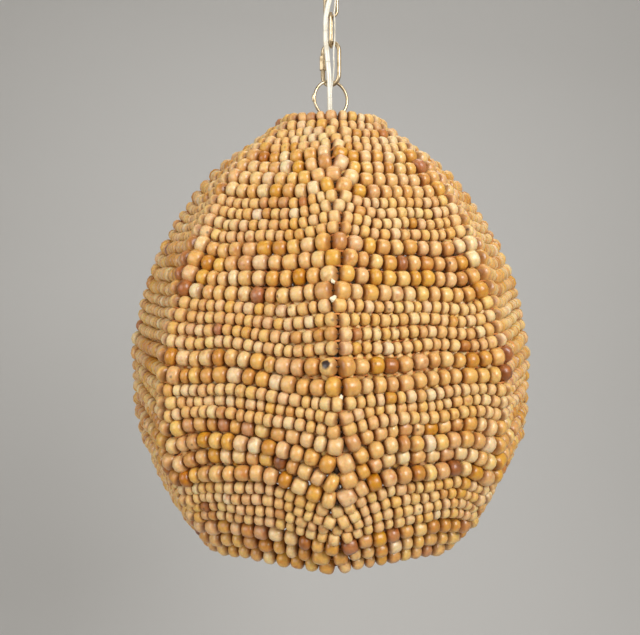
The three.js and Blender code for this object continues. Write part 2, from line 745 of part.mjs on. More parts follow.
function bulbGlass() {
  const top = socketBottom - bulbBaseShow - seatGap;
  const widest = bulbGlassDiameter / 2;
  const neck = bulbBaseDiameter / 2;
  const outlineShares = [[0.06, 0.1], [0.2, 0.55], [0.38, 0.9], [0.55, 1], [0.72, 0.86], [0.88, 0.52], [0.97, 0.2]];
  const outline = outlineShares.map(([down, out]) => [neck + (widest - neck) * out, top - bulbGlassLength * down]);
  const tip = outline.slice(0, -2);
  const point = [[widest * 0.62, top - bulbGlassLength * 0.9], [widest * 0.3, top - bulbGlassLength * 0.98]];
  return turned([[0, top - bulbGlassLength], ...point.reverse(), ...tip.reverse(), [neck, top], [0, top]]);
}

for (let index = 0; index < socketCount; index += 1) {
  const azimuth = radians(socketTurn + (index * 360) / socketCount);
  const place = new THREE.Group();
  place.position.set(socketCircleRadius * Math.cos(azimuth), socketCircleRadius * Math.sin(azimuth), 0);
  pendant.add(place);
  addPiece(`socket_${index + 1}`, socket(), ivoryPlastic(), place);
  addPiece(`bulb_base_${index + 1}`, bulbBase(), antiqueBrass(), place);
  addPiece(`bulb_glass_${index + 1}`, bulbGlass(), frostedGlass(), place);
}

// Cords: from inside the canopy, down along the chain, through the hub, to just above the cluster body
function routed(route, endHeight) {
  const points = route.map(([x, y, z]) => new THREE.Vector3(x, y, z));
  points.at(-1).z = endHeight;
  return points;
}
const cordEnd = clusterTop + seatGap;
const cordShape = ovalShape(cordThickness, cordWidth, wireSides);
addPiece('supply_cord', wireAlong(routed(cordRoute, cordEnd), cordShape, cordSteps), ivoryPlastic());
const earthShape = polygonShape(earthWireDiameter / 2, wireSides);
addPiece('earth_wire', wireAlong(routed(earthWireRoute, cordEnd), earthShape, cordSteps), ivoryPlastic());

export default pendant;
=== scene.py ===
import math
import random

import bmesh
import bpy
from mathutils import Matrix, Vector, noise


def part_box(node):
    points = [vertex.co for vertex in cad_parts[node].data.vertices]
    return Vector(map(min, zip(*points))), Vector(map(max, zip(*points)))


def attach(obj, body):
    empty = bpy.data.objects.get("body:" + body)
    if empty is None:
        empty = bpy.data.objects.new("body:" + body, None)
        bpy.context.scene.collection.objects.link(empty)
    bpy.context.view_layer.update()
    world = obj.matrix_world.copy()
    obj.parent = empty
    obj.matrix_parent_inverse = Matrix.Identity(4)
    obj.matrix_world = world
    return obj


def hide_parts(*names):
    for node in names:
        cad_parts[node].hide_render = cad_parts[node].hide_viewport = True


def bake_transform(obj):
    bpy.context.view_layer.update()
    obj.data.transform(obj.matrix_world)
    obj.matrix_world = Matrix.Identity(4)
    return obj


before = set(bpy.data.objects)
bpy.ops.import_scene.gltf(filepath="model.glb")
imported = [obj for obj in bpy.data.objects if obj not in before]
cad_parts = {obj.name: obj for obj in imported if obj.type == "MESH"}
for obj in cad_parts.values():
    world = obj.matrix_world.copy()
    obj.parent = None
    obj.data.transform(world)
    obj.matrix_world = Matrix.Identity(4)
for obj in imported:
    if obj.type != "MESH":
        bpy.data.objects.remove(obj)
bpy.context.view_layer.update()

# Camera
# It stands in front of the lamp, a little above the widest row, and looks very slightly down. The lamp's axis
# falls a little right of the picture's middle.
picture_width = 640
focal_pixels = 714.3
sensor_width = 36.0
camera_distance = 0.888
camera_height = -0.3885
camera_aside = -0.003
look_down = 0.03956
look_left = 0.01176
picture_rise = -0.05


def placed(name, data):
    thing = bpy.data.objects.new(name, data)
    bpy.context.scene.collection.objects.link(thing)
    return thing


camera_data = bpy.data.cameras.new("photo_camera")
camera_data.sensor_width = sensor_width
camera_data.lens = focal_pixels / picture_width * sensor_width
camera_data.shift_y = picture_rise
camera = placed("photo_camera", camera_data)
camera.location = (camera_aside, -camera_distance, camera_height)
camera.rotation_euler = (math.pi / 2 - look_down, 0, look_left)
bpy.context.scene.camera = camera


# Studio
# A pale paper sweep: a floor well below the lamp that curves up into a wall behind it. A strong soft box
# stands at the front right, a weaker one at the front left and a third behind and above, under an even sky.
floor_height = -2.1
sweep_depth = 2.6
sweep_half_width = 6.0
sweep_wall = 4.05
sweep_curve = 1.2
sweep_curve_steps = 12
sweep_front = 3.5
paper_colour = (0.78, 0.77, 0.75, 1)
paper_tooth = 0.0004
sky_colour = (1.0, 0.955, 0.88, 1.0)
sky_strength = 0.25
lit_point = Vector((0, 0, -0.42))
# Each soft box has its place, its watts and its size.
soft_boxes = {
    "key_box": ((0.9, -1.5, 0.42), 37.5, 0.9),
    "fill_box": ((-1.5, -1.3, -0.1), 20, 1.4),
    "top_box": ((0.2, 0.5, 1.3), 12.5, 1.2),
}


def shader_of(name):
    material = bpy.data.materials.new(name)
    material.use_nodes = True
    return material, material.node_tree, material.node_tree.nodes["Principled BSDF"]


def join(tree, value, socket):
    if isinstance(value, bpy.types.NodeSocket):
        tree.links.new(value, socket)
    else:
        socket.default_value = value


def feed(tree, node, **inputs):
    for name, value in inputs.items():
        join(tree, value, node.inputs[name.replace("_", " ")])


def node_in(tree, kind, settings=(), **inputs):
    node = tree.nodes.new(kind)
    for name, value in dict(settings).items():
        setattr(node, name, value)
    feed(tree, node, **inputs)
    return node


def object_place(tree):
    return node_in(tree, "ShaderNodeTexCoord").outputs["Object"]


def noise_on(tree, place, scale, detail, roughness=0.5):
    node = node_in(tree, "ShaderNodeTexNoise", Vector=place, Scale=scale, Detail=detail, Roughness=roughness)
    return node.outputs["Fac"]


def colour_ramp(tree, factor, stops):
    node = node_in(tree, "ShaderNodeValToRGB", Fac=factor)
    ramp = node.color_ramp
    while len(ramp.elements) < len(stops):
        ramp.elements.new(1)
    for element, (place, colour) in zip(ramp.elements, stops):
        element.position = place
        element.color = (*colour, 1)
    return node.outputs["Color"]


def value_range(tree, factor, low, high, start=0.0, end=1.0):
    node = node_in(tree, "ShaderNodeMapRange", Value=factor, From_Min=start, From_Max=end, To_Min=low,
                   To_Max=high)
    return node.outputs["Result"]


def bumped(tree, shader, height, distance, strength=1.0):
    bump = node_in(tree, "ShaderNodeBump", Height=height, Distance=distance, Strength=strength)
    feed(tree, shader, Normal=bump.outputs["Normal"])


def paper():
    material, tree, shader = shader_of("paper_sweep")
    feed(tree, shader, Base_Color=paper_colour, Roughness=0.9)
    grain = node_in(tree, "ShaderNodeTexNoise", Scale=40.0, Detail=3.0)
    bumped(tree, shader, grain.outputs["Fac"], paper_tooth, 0.3)
    return material


def paper_sweep():
    shape = bmesh.new()
    line = [shape.verts.new((-sweep_half_width, -sweep_front, floor_height))]
    for step in range(sweep_curve_steps + 1):
        angle = math.pi / 2 * step / sweep_curve_steps
        back = sweep_depth - sweep_curve + sweep_curve * math.sin(angle)
        up = floor_height + sweep_curve * (1 - math.cos(angle))
        line.append(shape.verts.new((-sweep_half_width, back, up)))
    line.append(shape.verts.new((-sweep_half_width, sweep_depth, floor_height + sweep_wall)))
    edges = [shape.edges.new(pair) for pair in zip(line, line[1:])]
    wide = bmesh.ops.extrude_edge_only(shape, edges=edges)
    moved = [part for part in wide["geom"] if isinstance(part, bmesh.types.BMVert)]
    bmesh.ops.translate(shape, verts=moved, vec=(2 * sweep_half_width, 0, 0))
    bmesh.ops.recalc_face_normals(shape, faces=shape.faces)
    mesh = bpy.data.meshes.new("paper_sweep")
    shape.to_mesh(mesh)
    shape.free()
    mesh.shade_smooth()
    mesh.materials.append(paper())
    placed("paper_sweep", mesh)


def soft_box(name, place, watts, size):
    light = bpy.data.lights.new(name, "AREA")
    light.energy = watts
    light.size = size
    lamp = placed(name, light)
    lamp.location = place
    lamp.rotation_euler = (lit_point - Vector(place)).to_track_quat("-Z", "Y").to_euler()


def even_sky():
    world = bpy.data.worlds.new("even_sky")
    world.use_nodes = True
    sky = world.node_tree.nodes["Background"]
    feed(world.node_tree, sky, Color=sky_colour, Strength=sky_strength)
    bpy.context.scene.world = world


paper_sweep()
for name, (place, watts, size) in soft_boxes.items():
    soft_box(name, place, watts, size)
even_sky()
bpy.context.scene.view_settings.view_transform = "Standard"


# Ceiling bracket, box screws and stud
# Zinc plated steel. The bar is punched for two screws into the ceiling box, and the threaded stud is welded
# under its middle to carry the whole lamp.
spangle_depth = 0.0002


def zinc_plate():
    material, tree, shader = shader_of("zinc_plate")
    place = object_place(tree)
    spangle = node_in(tree, "ShaderNodeTexVoronoi", Vector=place, Scale=260.0).outputs["Distance"]
    scuff = noise_on(tree, place, 70.0, 5.0)
    tone = colour_ramp(tree, scuff, [(0.3, (0.42, 0.42, 0.41)), (0.7, (0.66, 0.66, 0.64))])
    feed(tree, shader, Base_Color=tone, Metallic=1, Roughness=value_range(tree, scuff, 0.3, 0.55))
    bumped(tree, shader, spangle, spangle_depth, 0.15)
    return material


crease_angle = math.radians(35)


def place_piece(name, mesh, material, body, nodes=(), smooth_angle=crease_angle):
    mesh.name = name
    mesh.shade_smooth()
    mesh.set_sharp_from_angle(angle=smooth_angle)
    mesh.materials.clear()
    mesh.materials.append(material)
    piece = placed(name, mesh)
    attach(piece, body)
    if nodes:
        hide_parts(*nodes)
    return piece


def mesh_of(shape):
    mesh = bpy.data.meshes.new("shape")
    shape.to_mesh(mesh)
    shape.free()
    return mesh


def rounded(piece, width, segments=2):
    edge = piece.modifiers.new("worn_edge", "BEVEL")
    edge.width = width
    edge.segments = segments
    edge.limit_method = "ANGLE"
    edge.angle_limit = crease_angle
    edge.use_clamp_overlap = True
    return piece


node_merge = 1e-6
node_flat_angle = math.radians(1)
turned_merge = 1e-7
thread_crest_share = 0.25
thread_root_share = 0.75


def merged_copy(node):
    shape = bmesh.new()
    shape.from_mesh(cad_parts[node].data)
    bmesh.ops.remove_doubles(shape, verts=shape.verts, dist=node_merge)
    bmesh.ops.dissolve_limit(shape, angle_limit=node_flat_angle, verts=shape.verts, edges=shape.edges)
    return mesh_of(shape)


def turned_shape(outline, steps=48, move=(0, 0, 0)):
    shape = bmesh.new()
    ring = [shape.verts.new((radius, 0, height)) for radius, height in outline]
    edges = [shape.edges.new(pair) for pair in zip(ring, ring[1:])]
    if outline[0][0] > 0:
        edges.append(shape.edges.new((ring[-1], ring[0])))
    bmesh.ops.spin(shape, geom=ring + edges, cent=(0, 0, 0), axis=(0, 0, 1), angle=math.tau, steps=steps,
                   use_merge=True)
    bmesh.ops.remove_doubles(shape, verts=shape.verts, dist=turned_merge)
    bmesh.ops.translate(shape, verts=shape.verts, vec=move)
    bmesh.ops.recalc_face_normals(shape, faces=shape.faces)
    return shape


def turned_piece(node, kind, outline, steps, material, body, move=(0, 0, 0)):
    mesh = mesh_of(turned_shape(outline, steps, move))
    return place_piece(f"{node}_{kind}", mesh, material, body, [node])


def thread_outline(radius, top, bottom, pitch, depth):
    outline = []
    turns = int(round((top - bottom) / pitch))
    for turn in range(turns):
        outline.append((radius, top - pitch * turn - pitch * thread_crest_share))
        outline.append((radius - depth, top - pitch * turn - pitch * thread_root_share))
    return outline


def axis_of(node):
    low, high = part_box(node)
    return Vector(((low[0] + high[0]) / 2, (low[1] + high[1]) / 2, 0))


zinc = zinc_plate()
bracket_edge = 0.0004
bracket = place_piece("ceiling_bracket_bar", merged_copy("ceiling_bracket"), zinc, "canopy",
                      ["ceiling_bracket"])
rounded(bracket, bracket_edge)

screw_pitch = 0.0007
screw_thread_depth = 0.0003
screw_head_share = 0.62
screw_tip_share = 0.9
head_crown = 0.0007
head_shares = [(0, 0), (0.5, 0.3), (0.85, 1), (1, 2)]
for number in (1, 2):
    node = f"box_screw_{number}"
    low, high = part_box(node)
    head = (high[1] - low[1]) / 2
    shank = head / 2
    head_top = low[2] + head * screw_head_share
    outline = [(head * out, low[2] + head_crown * up) for out, up in head_shares]
    outline += [(head, head_top), (shank, head_top)]
    outline += reversed(thread_outline(shank, high[2], head_top, screw_pitch, screw_thread_depth))
    outline += [(shank * screw_tip_share, high[2]), (0, high[2])]
    turned_piece(node, "threaded", outline, 24, zinc, "canopy", axis_of(node))

low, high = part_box("hanging_stud")
stud_radius = (high[1] - low[1]) / 2
stud_pitch = 0.0015
stud_depth_share = 0.3
stud_top_share = 0.9
stud_tip_share = 0.85
outline = [(0, high[2]), (stud_radius * stud_top_share, high[2])]
outline += thread_outline(stud_radius, high[2], low[2], stud_pitch, stud_pitch * stud_depth_share)
outline += [(stud_radius * stud_tip_share, low[2]), (0, low[2])]
turned_piece("hanging_stud", "threaded", outline, 32, zinc, "canopy")


# Canopy and collar nut
# A shallow dish pressed from sheet steel and plated in a pale antique brass, which covers the ceiling box. A
# round knurled collar nut on the stud holds it up.
brass_wear_depth = 0.00008


def antique_brass():
    material, tree, shader = shader_of("antique_brass")
    place = object_place(tree)
    patina = noise_on(tree, place, 120.0, 6.0, 0.65)
    wear = noise_on(tree, place, 900.0, 3.0)
    tone = colour_ramp(tree, patina,
                       [(0.3, (0.27, 0.19, 0.10)), (0.48, (0.60, 0.47, 0.29)), (0.75, (0.78, 0.65, 0.45))])
    feed(tree, shader, Base_Color=tone, Metallic=0.9, Roughness=value_range(tree, patina, 0.5, 0.28))
    bumped(tree, shader, wear, brass_wear_depth, 0.5)
    return material


def cut_out(piece, cutter_mesh):
    cutter = placed("cutter", cutter_mesh)
    cut = piece.modifiers.new("cut", "BOOLEAN")
    cut.operation = "DIFFERENCE"
    cut.solver = "EXACT"
    cut.object = cutter
    bpy.context.view_layer.update()
    graph = bpy.context.evaluated_depsgraph_get()
    finished = bpy.data.meshes.new_from_object(piece.evaluated_get(graph))
    piece.modifiers.clear()
    finished.name = piece.name
    piece.data = finished
    bpy.data.objects.remove(cutter)


brass = antique_brass()
low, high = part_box("canopy_shell")
canopy_radius = high[0]
canopy_bottom = low[2]
canopy_rim = high[2]
canopy_sheet = 0.0012
canopy_stud_hole = 0.0053
canopy_flat_share = 0.56
canopy_edge_share = 0.3
canopy_bend_shares = [
    (0.0, 0.0), (0.28, 0.035), (0.5, 0.13), (0.7, 0.28), (0.86, 0.52), (0.96, 0.78), (1.0, 0.95),
]


def canopy_outline():
    flat = canopy_radius * canopy_flat_share
    outside = [(flat + (canopy_radius - flat) * out, canopy_bottom + (canopy_rim - canopy_bottom) * up)
               for out, up in canopy_bend_shares]
    outside.append((canopy_radius, canopy_rim))
    inside = [(radius - canopy_sheet, height + canopy_sheet) for radius, height in outside[1:-1]]
    inside.append((canopy_radius - canopy_sheet, canopy_rim))
    inside.reverse()
    inside.append((flat, canopy_bottom + canopy_sheet))
    return [(canopy_stud_hole, canopy_bottom), *outside, *inside,
            (canopy_stud_hole, canopy_bottom + canopy_sheet)]


inlet = axis_of("canopy_bushing")
bushing_bore = 0.0046
bushing_sleeve = 0.0058
bushing_play = 0.0003
canopy = place_piece("canopy_dish", mesh_of(turned_shape(canopy_outline(), 96)), brass, "canopy",
                     ["canopy_shell"])
hole_radius = bushing_sleeve + bushing_play
hole_bottom = canopy_bottom * 2
hole = turned_shape([(0, hole_bottom), (hole_radius, hole_bottom), (hole_radius, 0), (0, 0)], 32, inlet)
cut_out(canopy, mesh_of(hole))
rounded(canopy, canopy_sheet * canopy_edge_share)

low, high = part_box("collar_nut")
collar_radius = high[1]
collar_edge = 0.0008
knurls = 40
knurl_depth_share = 0.45
collar = turned_shape([(canopy_stud_hole, low[2]), (collar_radius - collar_edge, low[2]),
                       (collar_radius, low[2] + collar_edge), (collar_radius, high[2] - collar_edge),
                       (collar_radius - collar_edge, high[2]), (canopy_stud_hole, high[2])], knurls * 2)
for vertex in collar.verts:
    side = round(math.atan2(vertex.co.y, vertex.co.x) / math.tau * knurls * 2)
    if side % 2 and math.hypot(vertex.co.x, vertex.co.y) > collar_radius - collar_edge / 2:
        vertex.co.xy *= 1 - collar_edge * knurl_depth_share / collar_radius
place_piece("collar_nut_knurled", mesh_of(collar), brass, "canopy", ["collar_nut"])


# Cord bushings
# Ivory moulded plastic sleeves with a flange. One lines the hole in the canopy and one the hole in the spider
# plate, so that the sheet's edge can't cut the cord.
plastic_grain = 0.00004


def ivory_plastic():
    material, tree, shader = shader_of("ivory_plastic")
    place = object_place(tree)
    flow = noise_on(tree, place, 45.0, 4.0)
    texture = noise_on(tree, place, 1600.0, 2.0)
    tone = colour_ramp(tree, flow, [(0.3, (0.66, 0.60, 0.47)), (0.7, (0.76, 0.71, 0.60))])
    feed(tree, shader, Base_Color=tone, Roughness=value_range(tree, flow, 0.38, 0.5))
    bumped(tree, shader, texture, plastic_grain, 0.5)
    return material


ivory = ivory_plastic()
flange_height = 0.002
flange_edge = 0.0004
for node, body in (("canopy_bushing", "canopy"), ("hub_bushing", "shade")):
    low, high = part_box(node)
    flange = (high[1] - low[1]) / 2
    flange_top = low[2] + flange_height
    outline = [(bushing_bore, low[2]), (flange - flange_edge * 2, low[2]), (flange, low[2] + flange_edge * 2),
               (flange, flange_top), (bushing_sleeve, flange_top), (bushing_sleeve, high[2] - flange_edge),
               (bushing_sleeve - flange_edge, high[2]), (bushing_bore, high[2])]
    turned_piece(node, "sleeve", outline, 40, ivory, body, axis_of(node))


# Canopy loop
# A cast eye on a threaded boss, plated like the canopy. The boss is screwed up on the stud's end and the
# first chain link hangs in the eye.
def wire_mesh(points, radius, closed=False, sides=12):
    curve = bpy.data.curves.new("wire", "CURVE")
    curve.dimensions = "3D"
    curve.bevel_depth = radius
    curve.bevel_resolution = (sides - 4) // 2
    curve.use_fill_caps = not closed
    laid_along(curve, points).use_cyclic_u = closed
    return solid_from(curve)


def laid_along(curve, points):
    spline = curve.splines.new("POLY")
    spline.points.add(len(points) - 1)
    for point, place in zip(spline.points, points):
        point.co = (*place, 1)
    return spline


def solid_from(curve):
    holder = placed("wire", curve)
    bpy.context.view_layer.update()
    evaluated = holder.evaluated_get(bpy.context.evaluated_depsgraph_get())
    mesh = bpy.data.meshes.new_from_object(evaluated)
    bpy.data.objects.remove(holder)
    shape = bmesh.new()
    shape.from_mesh(mesh)
    bmesh.ops.remove_doubles(shape, verts=shape.verts, dist=turned_merge)
    bmesh.ops.recalc_face_normals(shape, faces=shape.faces)
    shape.to_mesh(mesh)
    shape.free()
    return mesh


def toward(angle):
    return Vector((math.cos(angle), math.sin(angle), 0))


def ring_points(radius, centre, yaw, count=72):
    up = Vector((0, 0, 1))
    turns = (step * math.tau / count for step in range(count))
    return [centre + toward(yaw) * radius * math.cos(turn) + up * radius * math.sin(turn) for turn in turns]


low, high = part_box("canopy_loop")
loop_wire = 0.002
loop_radius = high[1] - loop_wire
loop_centre = Vector((0, 0, low[2] + loop_radius + loop_wire))
boss_radius = 0.008
boss_bottom = loop_centre.z + loop_radius - loop_wire
boss_bottom_share = 0.6
boss_edge = 0.0009
boss_floor = 0.003
boss = turned_shape([(0, boss_bottom), (boss_radius * boss_bottom_share, boss_bottom),
                     (boss_radius, boss_bottom + boss_edge * 2), (boss_radius, high[2] - boss_edge),
                     (boss_radius - boss_edge, high[2]), (canopy_stud_hole, high[2]),
                     (canopy_stud_hole, boss_bottom + boss_floor), (0, boss_bottom + boss_floor)], 40)
boss.from_mesh(wire_mesh(ring_points(loop_radius, loop_centre, math.pi / 2), loop_wire, closed=True))
place_piece("canopy_loop_cast", mesh_of(boss), brass, "canopy", ["canopy_loop"])


# Chain links
# Steel wire bent to an oval and butt welded at the middle of one side, plated like the canopy. The upper link
# faces the viewer and the lower one is edge-on.
link_wire = 0.0019
bow_radius = 0.00745
bow_steps = 20
lower_link_yaw = math.radians(84)
weld_length = 0.0026
weld_rise = 0.000175
weld_steps = 8


def oval_points(radius, straight, centre, yaw):
    points = []
    for start, lift in ((0, straight / 2), (math.pi, -straight / 2)):
        for step in range(bow_steps + 1):
            turn = start + math.pi * step / bow_steps
            rise = Vector((0, 0, radius * math.sin(turn) + lift))
            points.append(centre + toward(yaw) * radius * math.cos(turn) + rise)
    return points


def chain_link(node, body, yaw):
    low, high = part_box(node)
    centre = Vector((0, 0, (low[2] + high[2]) / 2))
    straight = high[2] - low[2] - 2 * (bow_radius + link_wire)
    link = bmesh.new()
    oval = oval_points(bow_radius, straight, centre, yaw)
    link.from_mesh(wire_mesh(oval, link_wire, closed=True, sides=14))
    weld_middle = centre - toward(yaw) * bow_radius
    weld = [weld_middle + Vector((0, 0, weld_length * (step / weld_steps - 0.5)))
            for step in range(weld_steps + 1)]
    link.from_mesh(wire_mesh(weld, link_wire + weld_rise, sides=12))
    place_piece(f"{node}_wire", mesh_of(link), brass, body, [node])


chain_link("chain_link_upper", "upper_link", 0)
chain_link("chain_link_lower", "lower_link", lower_link_yaw)


# Quick link
# An open oval of plated wire whose gate is closed by a long hexagonal threaded sleeve on its left leg. It
# joins the chain to the hanging ring.
quick_wire = 0.0027
quick_bow = 0.0113
quick_bow_steps = 24
quick_yaw = math.radians(-30)
low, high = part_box("quick_link")
quick_centre = Vector((0, 0, (low[2] + high[2]) / 2))
quick_straight = high[2] - low[2] - 2 * (quick_bow + quick_wire)
gate_top = -0.001
gate_bottom = -0.006
thread_pitch = 0.0008
thread_depth = 0.00035
quick_slim_share = 0.2
thread_top_share = 0.9
thread_tip_share = 0.88
sleeve_edge = 0.0007


def quick_place(across, up):
    return quick_centre + Vector((math.cos(quick_yaw) * across, math.sin(quick_yaw) * across, up))


def quick_link_wire():
    points = [quick_place(-quick_bow, gate_top)]
    for start, lift in ((math.pi, quick_straight / 2), (math.tau, -quick_straight / 2)):
        for step in range(quick_bow_steps + 1):
            turn = start - math.pi * step / quick_bow_steps
            points.append(quick_place(quick_bow * math.cos(turn), quick_bow * math.sin(turn) + lift))
    points.append(quick_place(-quick_bow, gate_bottom))
    link = bmesh.new()
    link.from_mesh(wire_mesh(points, quick_wire - thread_depth * quick_slim_share, sides=16))
    leg = quick_place(-quick_bow, 0)
    for top, bottom in ((quick_straight / 2, gate_top), (gate_bottom, -quick_straight / 2 + thread_pitch)):
        outline = [(0, top), (quick_wire * thread_top_share, top)]
        outline += thread_outline(quick_wire, top, bottom, thread_pitch, thread_depth)
        outline += [(quick_wire * thread_tip_share, bottom), (0, bottom)]
        link.from_mesh(mesh_of(turned_shape(outline, 20, leg)))
    return mesh_of(link)


place_piece("quick_link_wire", quick_link_wire(), brass, "quick_link", ["quick_link"])
sleeve = place_piece("quick_link_hex_sleeve", merged_copy("quick_link_sleeve"), brass, "link_sleeve",
                     ["quick_link_sleeve"])
rounded(sleeve, sleeve_edge, 3)


# Hanging ring
# Round steel wire bent to a ring and welded shut on the left, where the weld stands out as a bump. It is
# plated like the chain, and the hub loop of the shade hangs in it.
ring_wire = 0.0018
ring_radius = 0.022
ring_yaw = math.radians(24)
weld_bump = 0.0024
weld_bump_shares = (0.9, 0.8)
weld_overlap = 0.0052
weld_stand_off = 0.0013
low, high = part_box("hanging_ring")
ring_centre = Vector((0, 0, (low[2] + high[2]) / 2))


def hanging_ring():
    ring = bmesh.new()
    wire = ring_points(ring_radius, ring_centre, ring_yaw, 96)
    ring.from_mesh(wire_mesh(wire, ring_wire, closed=True, sides=14))
    bump = bmesh.ops.create_uvsphere(ring, u_segments=16, v_segments=10, radius=weld_bump)["verts"]
    bmesh.ops.scale(ring, vec=(*weld_bump_shares, weld_overlap / weld_bump), verts=bump)
    side = toward(ring_yaw) * -(ring_radius + weld_stand_off)
    bmesh.ops.translate(ring, verts=bump, vec=ring_centre + side)
    return mesh_of(ring)


place_piece("hanging_ring_wire", hanging_ring(), brass, "hanging_ring", ["hanging_ring"])


# Hub loop, spider plate and coupling
# Dark bronze painted steel. The eye's stem passes through the four-armed plate that lies under the top hoop,
# and the coupling below clamps the plate and carries the lights' stem.
paint_pimple = 0.00006


def bronze_paint():
    material, tree, shader = shader_of("bronze_paint")
    place = object_place(tree)
    flow = noise_on(tree, place, 60.0, 5.0)
    pimple = noise_on(tree, place, 1300.0, 2.0)
    tone = colour_ramp(tree, flow, [(0.3, (0.030, 0.017, 0.010)), (0.75, (0.085, 0.050, 0.030))])
    feed(tree, shader, Base_Color=tone, Metallic=0.4, Roughness=value_range(tree, flow, 0.4, 0.62))
    bumped(tree, shader, pimple, paint_pimple, 0.5)
    return material


bronze = bronze_paint()
low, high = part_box("hub_loop")
eye_wire = 0.002
eye_radius = 0.007
eye_centre = Vector((0, 0, high[2] - eye_radius - eye_wire))
hub_radius = 0.007
hub_length = 0.0074
hub_top = eye_centre.z - eye_radius + eye_wire
hub_bottom = hub_top - hub_length
hub_top_share = 0.6
hub_edge = 0.0008
hub_stem = 0.004
hub_pitch = 0.00125
hub_thread_depth = 0.0004
hub_tip_share = 0.85
outline = [(0, hub_top), (hub_radius * hub_top_share, hub_top), (hub_radius, hub_top - hub_edge * 2),
           (hub_radius, hub_bottom + hub_edge), (hub_radius - hub_edge, hub_bottom), (hub_stem, hub_bottom)]
outline += thread_outline(hub_stem, hub_bottom, low[2], hub_pitch, hub_thread_depth)
outline += [(hub_stem * hub_tip_share, low[2]), (0, low[2])]
hub = turned_shape(outline, 36)
eye = ring_points(eye_radius, eye_centre, ring_yaw + math.pi / 2, 48)
hub.from_mesh(wire_mesh(eye, eye_wire, closed=True))
place_piece("hub_loop_eye", mesh_of(hub), bronze, "shade", ["hub_loop"])

plate_edge = 0.0005
plate = place_piece("spider_plate_arms", merged_copy("spider_plate"), bronze, "shade", ["spider_plate"])
rounded(plate, plate_edge)

low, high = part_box("stem_coupling")
coupling_radius = high[1]
coupling_upper_bore = 0.0043
coupling_lower_bore = 0.0053
coupling_step_share = 0.55
coupling_step = high[2] - (high[2] - low[2]) * coupling_step_share
outline = [(coupling_lower_bore, low[2]), (coupling_radius - hub_edge, low[2]),
           (coupling_radius, low[2] + hub_edge), (coupling_radius, high[2] - hub_edge),
           (coupling_radius - hub_edge, high[2]), (coupling_upper_bore, high[2]),
           (coupling_upper_bore, coupling_step), (coupling_lower_bore, coupling_step)]
turned_piece("stem_coupling", "turned", outline, 40, bronze, "shade")


# Shade frame
# Eight curved ribs of dark painted wire, welded to a small hoop at the top and a large one at the bottom. The
# strands of beads are tied to the ribs.
rib_count = 8
rib_steps = 56
first_rib = math.radians(-88.8)
rib_wire = 0.002
rib_inset = 0.005
rib_top_lead = 0.009
rib_bottom_lead = 0.013
hoop_wire = 0.0025
hoop_steps = 120
hoop_gap = 0.0003
shade_height = 0.4666
string_radius = 0.2403
profile_steps = 60
low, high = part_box("top_hoop")
top_hoop_height = (low[2] + high[2]) / 2
profile_shares = [
    (0, 0.272), (0.037, 0.379), (0.099, 0.534), (0.152, 0.637), (0.206, 0.72), (0.278, 0.807), (0.372, 0.891),
    (0.463, 0.948), (0.551, 0.984), (0.654, 1), (0.75, 0.984), (0.821, 0.949), (0.891, 0.889), (0.939, 0.829),
    (0.971, 0.776), (1, 0.716),
]


def smooth_line(points, steps):
    line = []
    last = len(points) - 1
    for index in range(last):
        before, here = points[max(index - 1, 0)], points[index]
        ahead, beyond = points[index + 1], points[min(index + 2, last)]
        leave, reach = (ahead - before) / 2, (beyond - here) / 2
        for step in range(steps):
            part = step / steps
            line.append(here * (2 * part**3 - 3 * part**2 + 1) + leave * (part**3 - 2 * part**2 + part)
                        + ahead * (3 * part**2 - 2 * part**3) + reach * (part**3 - part**2))
    return [*line, points[last]]


def arcs_of(line):
    arcs = [0]
    for start, end in zip(line, line[1:]):
        arcs.append(arcs[-1] + (end - start).length)
    return arcs


def span_at(arcs, distance):
    low_index, high_index = 0, len(arcs) - 1
    while high_index - low_index > 1:
        middle = (low_index + high_index) // 2
        if arcs[middle] <= distance:
            low_index = middle
        else:
            high_index = middle
    return low_index, high_index


profile_points = [Vector((out * string_radius, -down * shade_height)) for down, out in profile_shares]
profile_line = smooth_line(profile_points, profile_steps)
profile_arcs = arcs_of(profile_line)
profile_length = profile_arcs[-1]


def on_profile(arc, outward, radius_share=1.0):
    low_index, high_index = span_at(profile_arcs, arc)
    start, end = profile_line[low_index], profile_line[high_index]
    along = (end - start).normalized()
    point = start + along * (arc - profile_arcs[low_index])
    return point.x * radius_share - along.y * outward, point.y + along.x * outward


top_lead = rib_top_lead + hoop_gap + hoop_wire
bottom_lead = rib_bottom_lead + hoop_gap + hoop_wire
top_hoop_radius, top_hoop_drop = on_profile(-top_lead, -rib_inset)
bottom_hoop_radius, bottom_hoop_drop = on_profile(profile_length + bottom_lead, -rib_inset)
shade_top = top_hoop_height - top_hoop_drop


def round_shade(radius, drop, azimuth):
    return Vector((radius * math.cos(azimuth), radius * math.sin(azimuth), shade_top + drop))


def hoop(node, radius, drop):
    points = [round_shade(radius, drop, step * math.tau / hoop_steps) for step in range(hoop_steps)]
    wire = wire_mesh(points, hoop_wire, closed=True, sides=10)
    place_piece(f"{node}_wire", wire, bronze, "shade", [node])


hoop("top_hoop", top_hoop_radius, top_hoop_drop)
hoop("bottom_hoop", bottom_hoop_radius, bottom_hoop_drop)


def rib_azimuth(number):
    return first_rib + number * math.tau / rib_count


for number in range(rib_count):
    reach = profile_length + rib_top_lead + rib_bottom_lead
    points = []
    for step in range(rib_steps + 1):
        radius, drop = on_profile(reach * step / rib_steps - rib_top_lead, -rib_inset)
        points.append(round_shade(radius, drop, rib_azimuth(number)))
    node = f"rib_{number + 1}"
    place_piece(f"{node}_wire", wire_mesh(points, rib_wire, sides=10), bronze, "shade", [node])


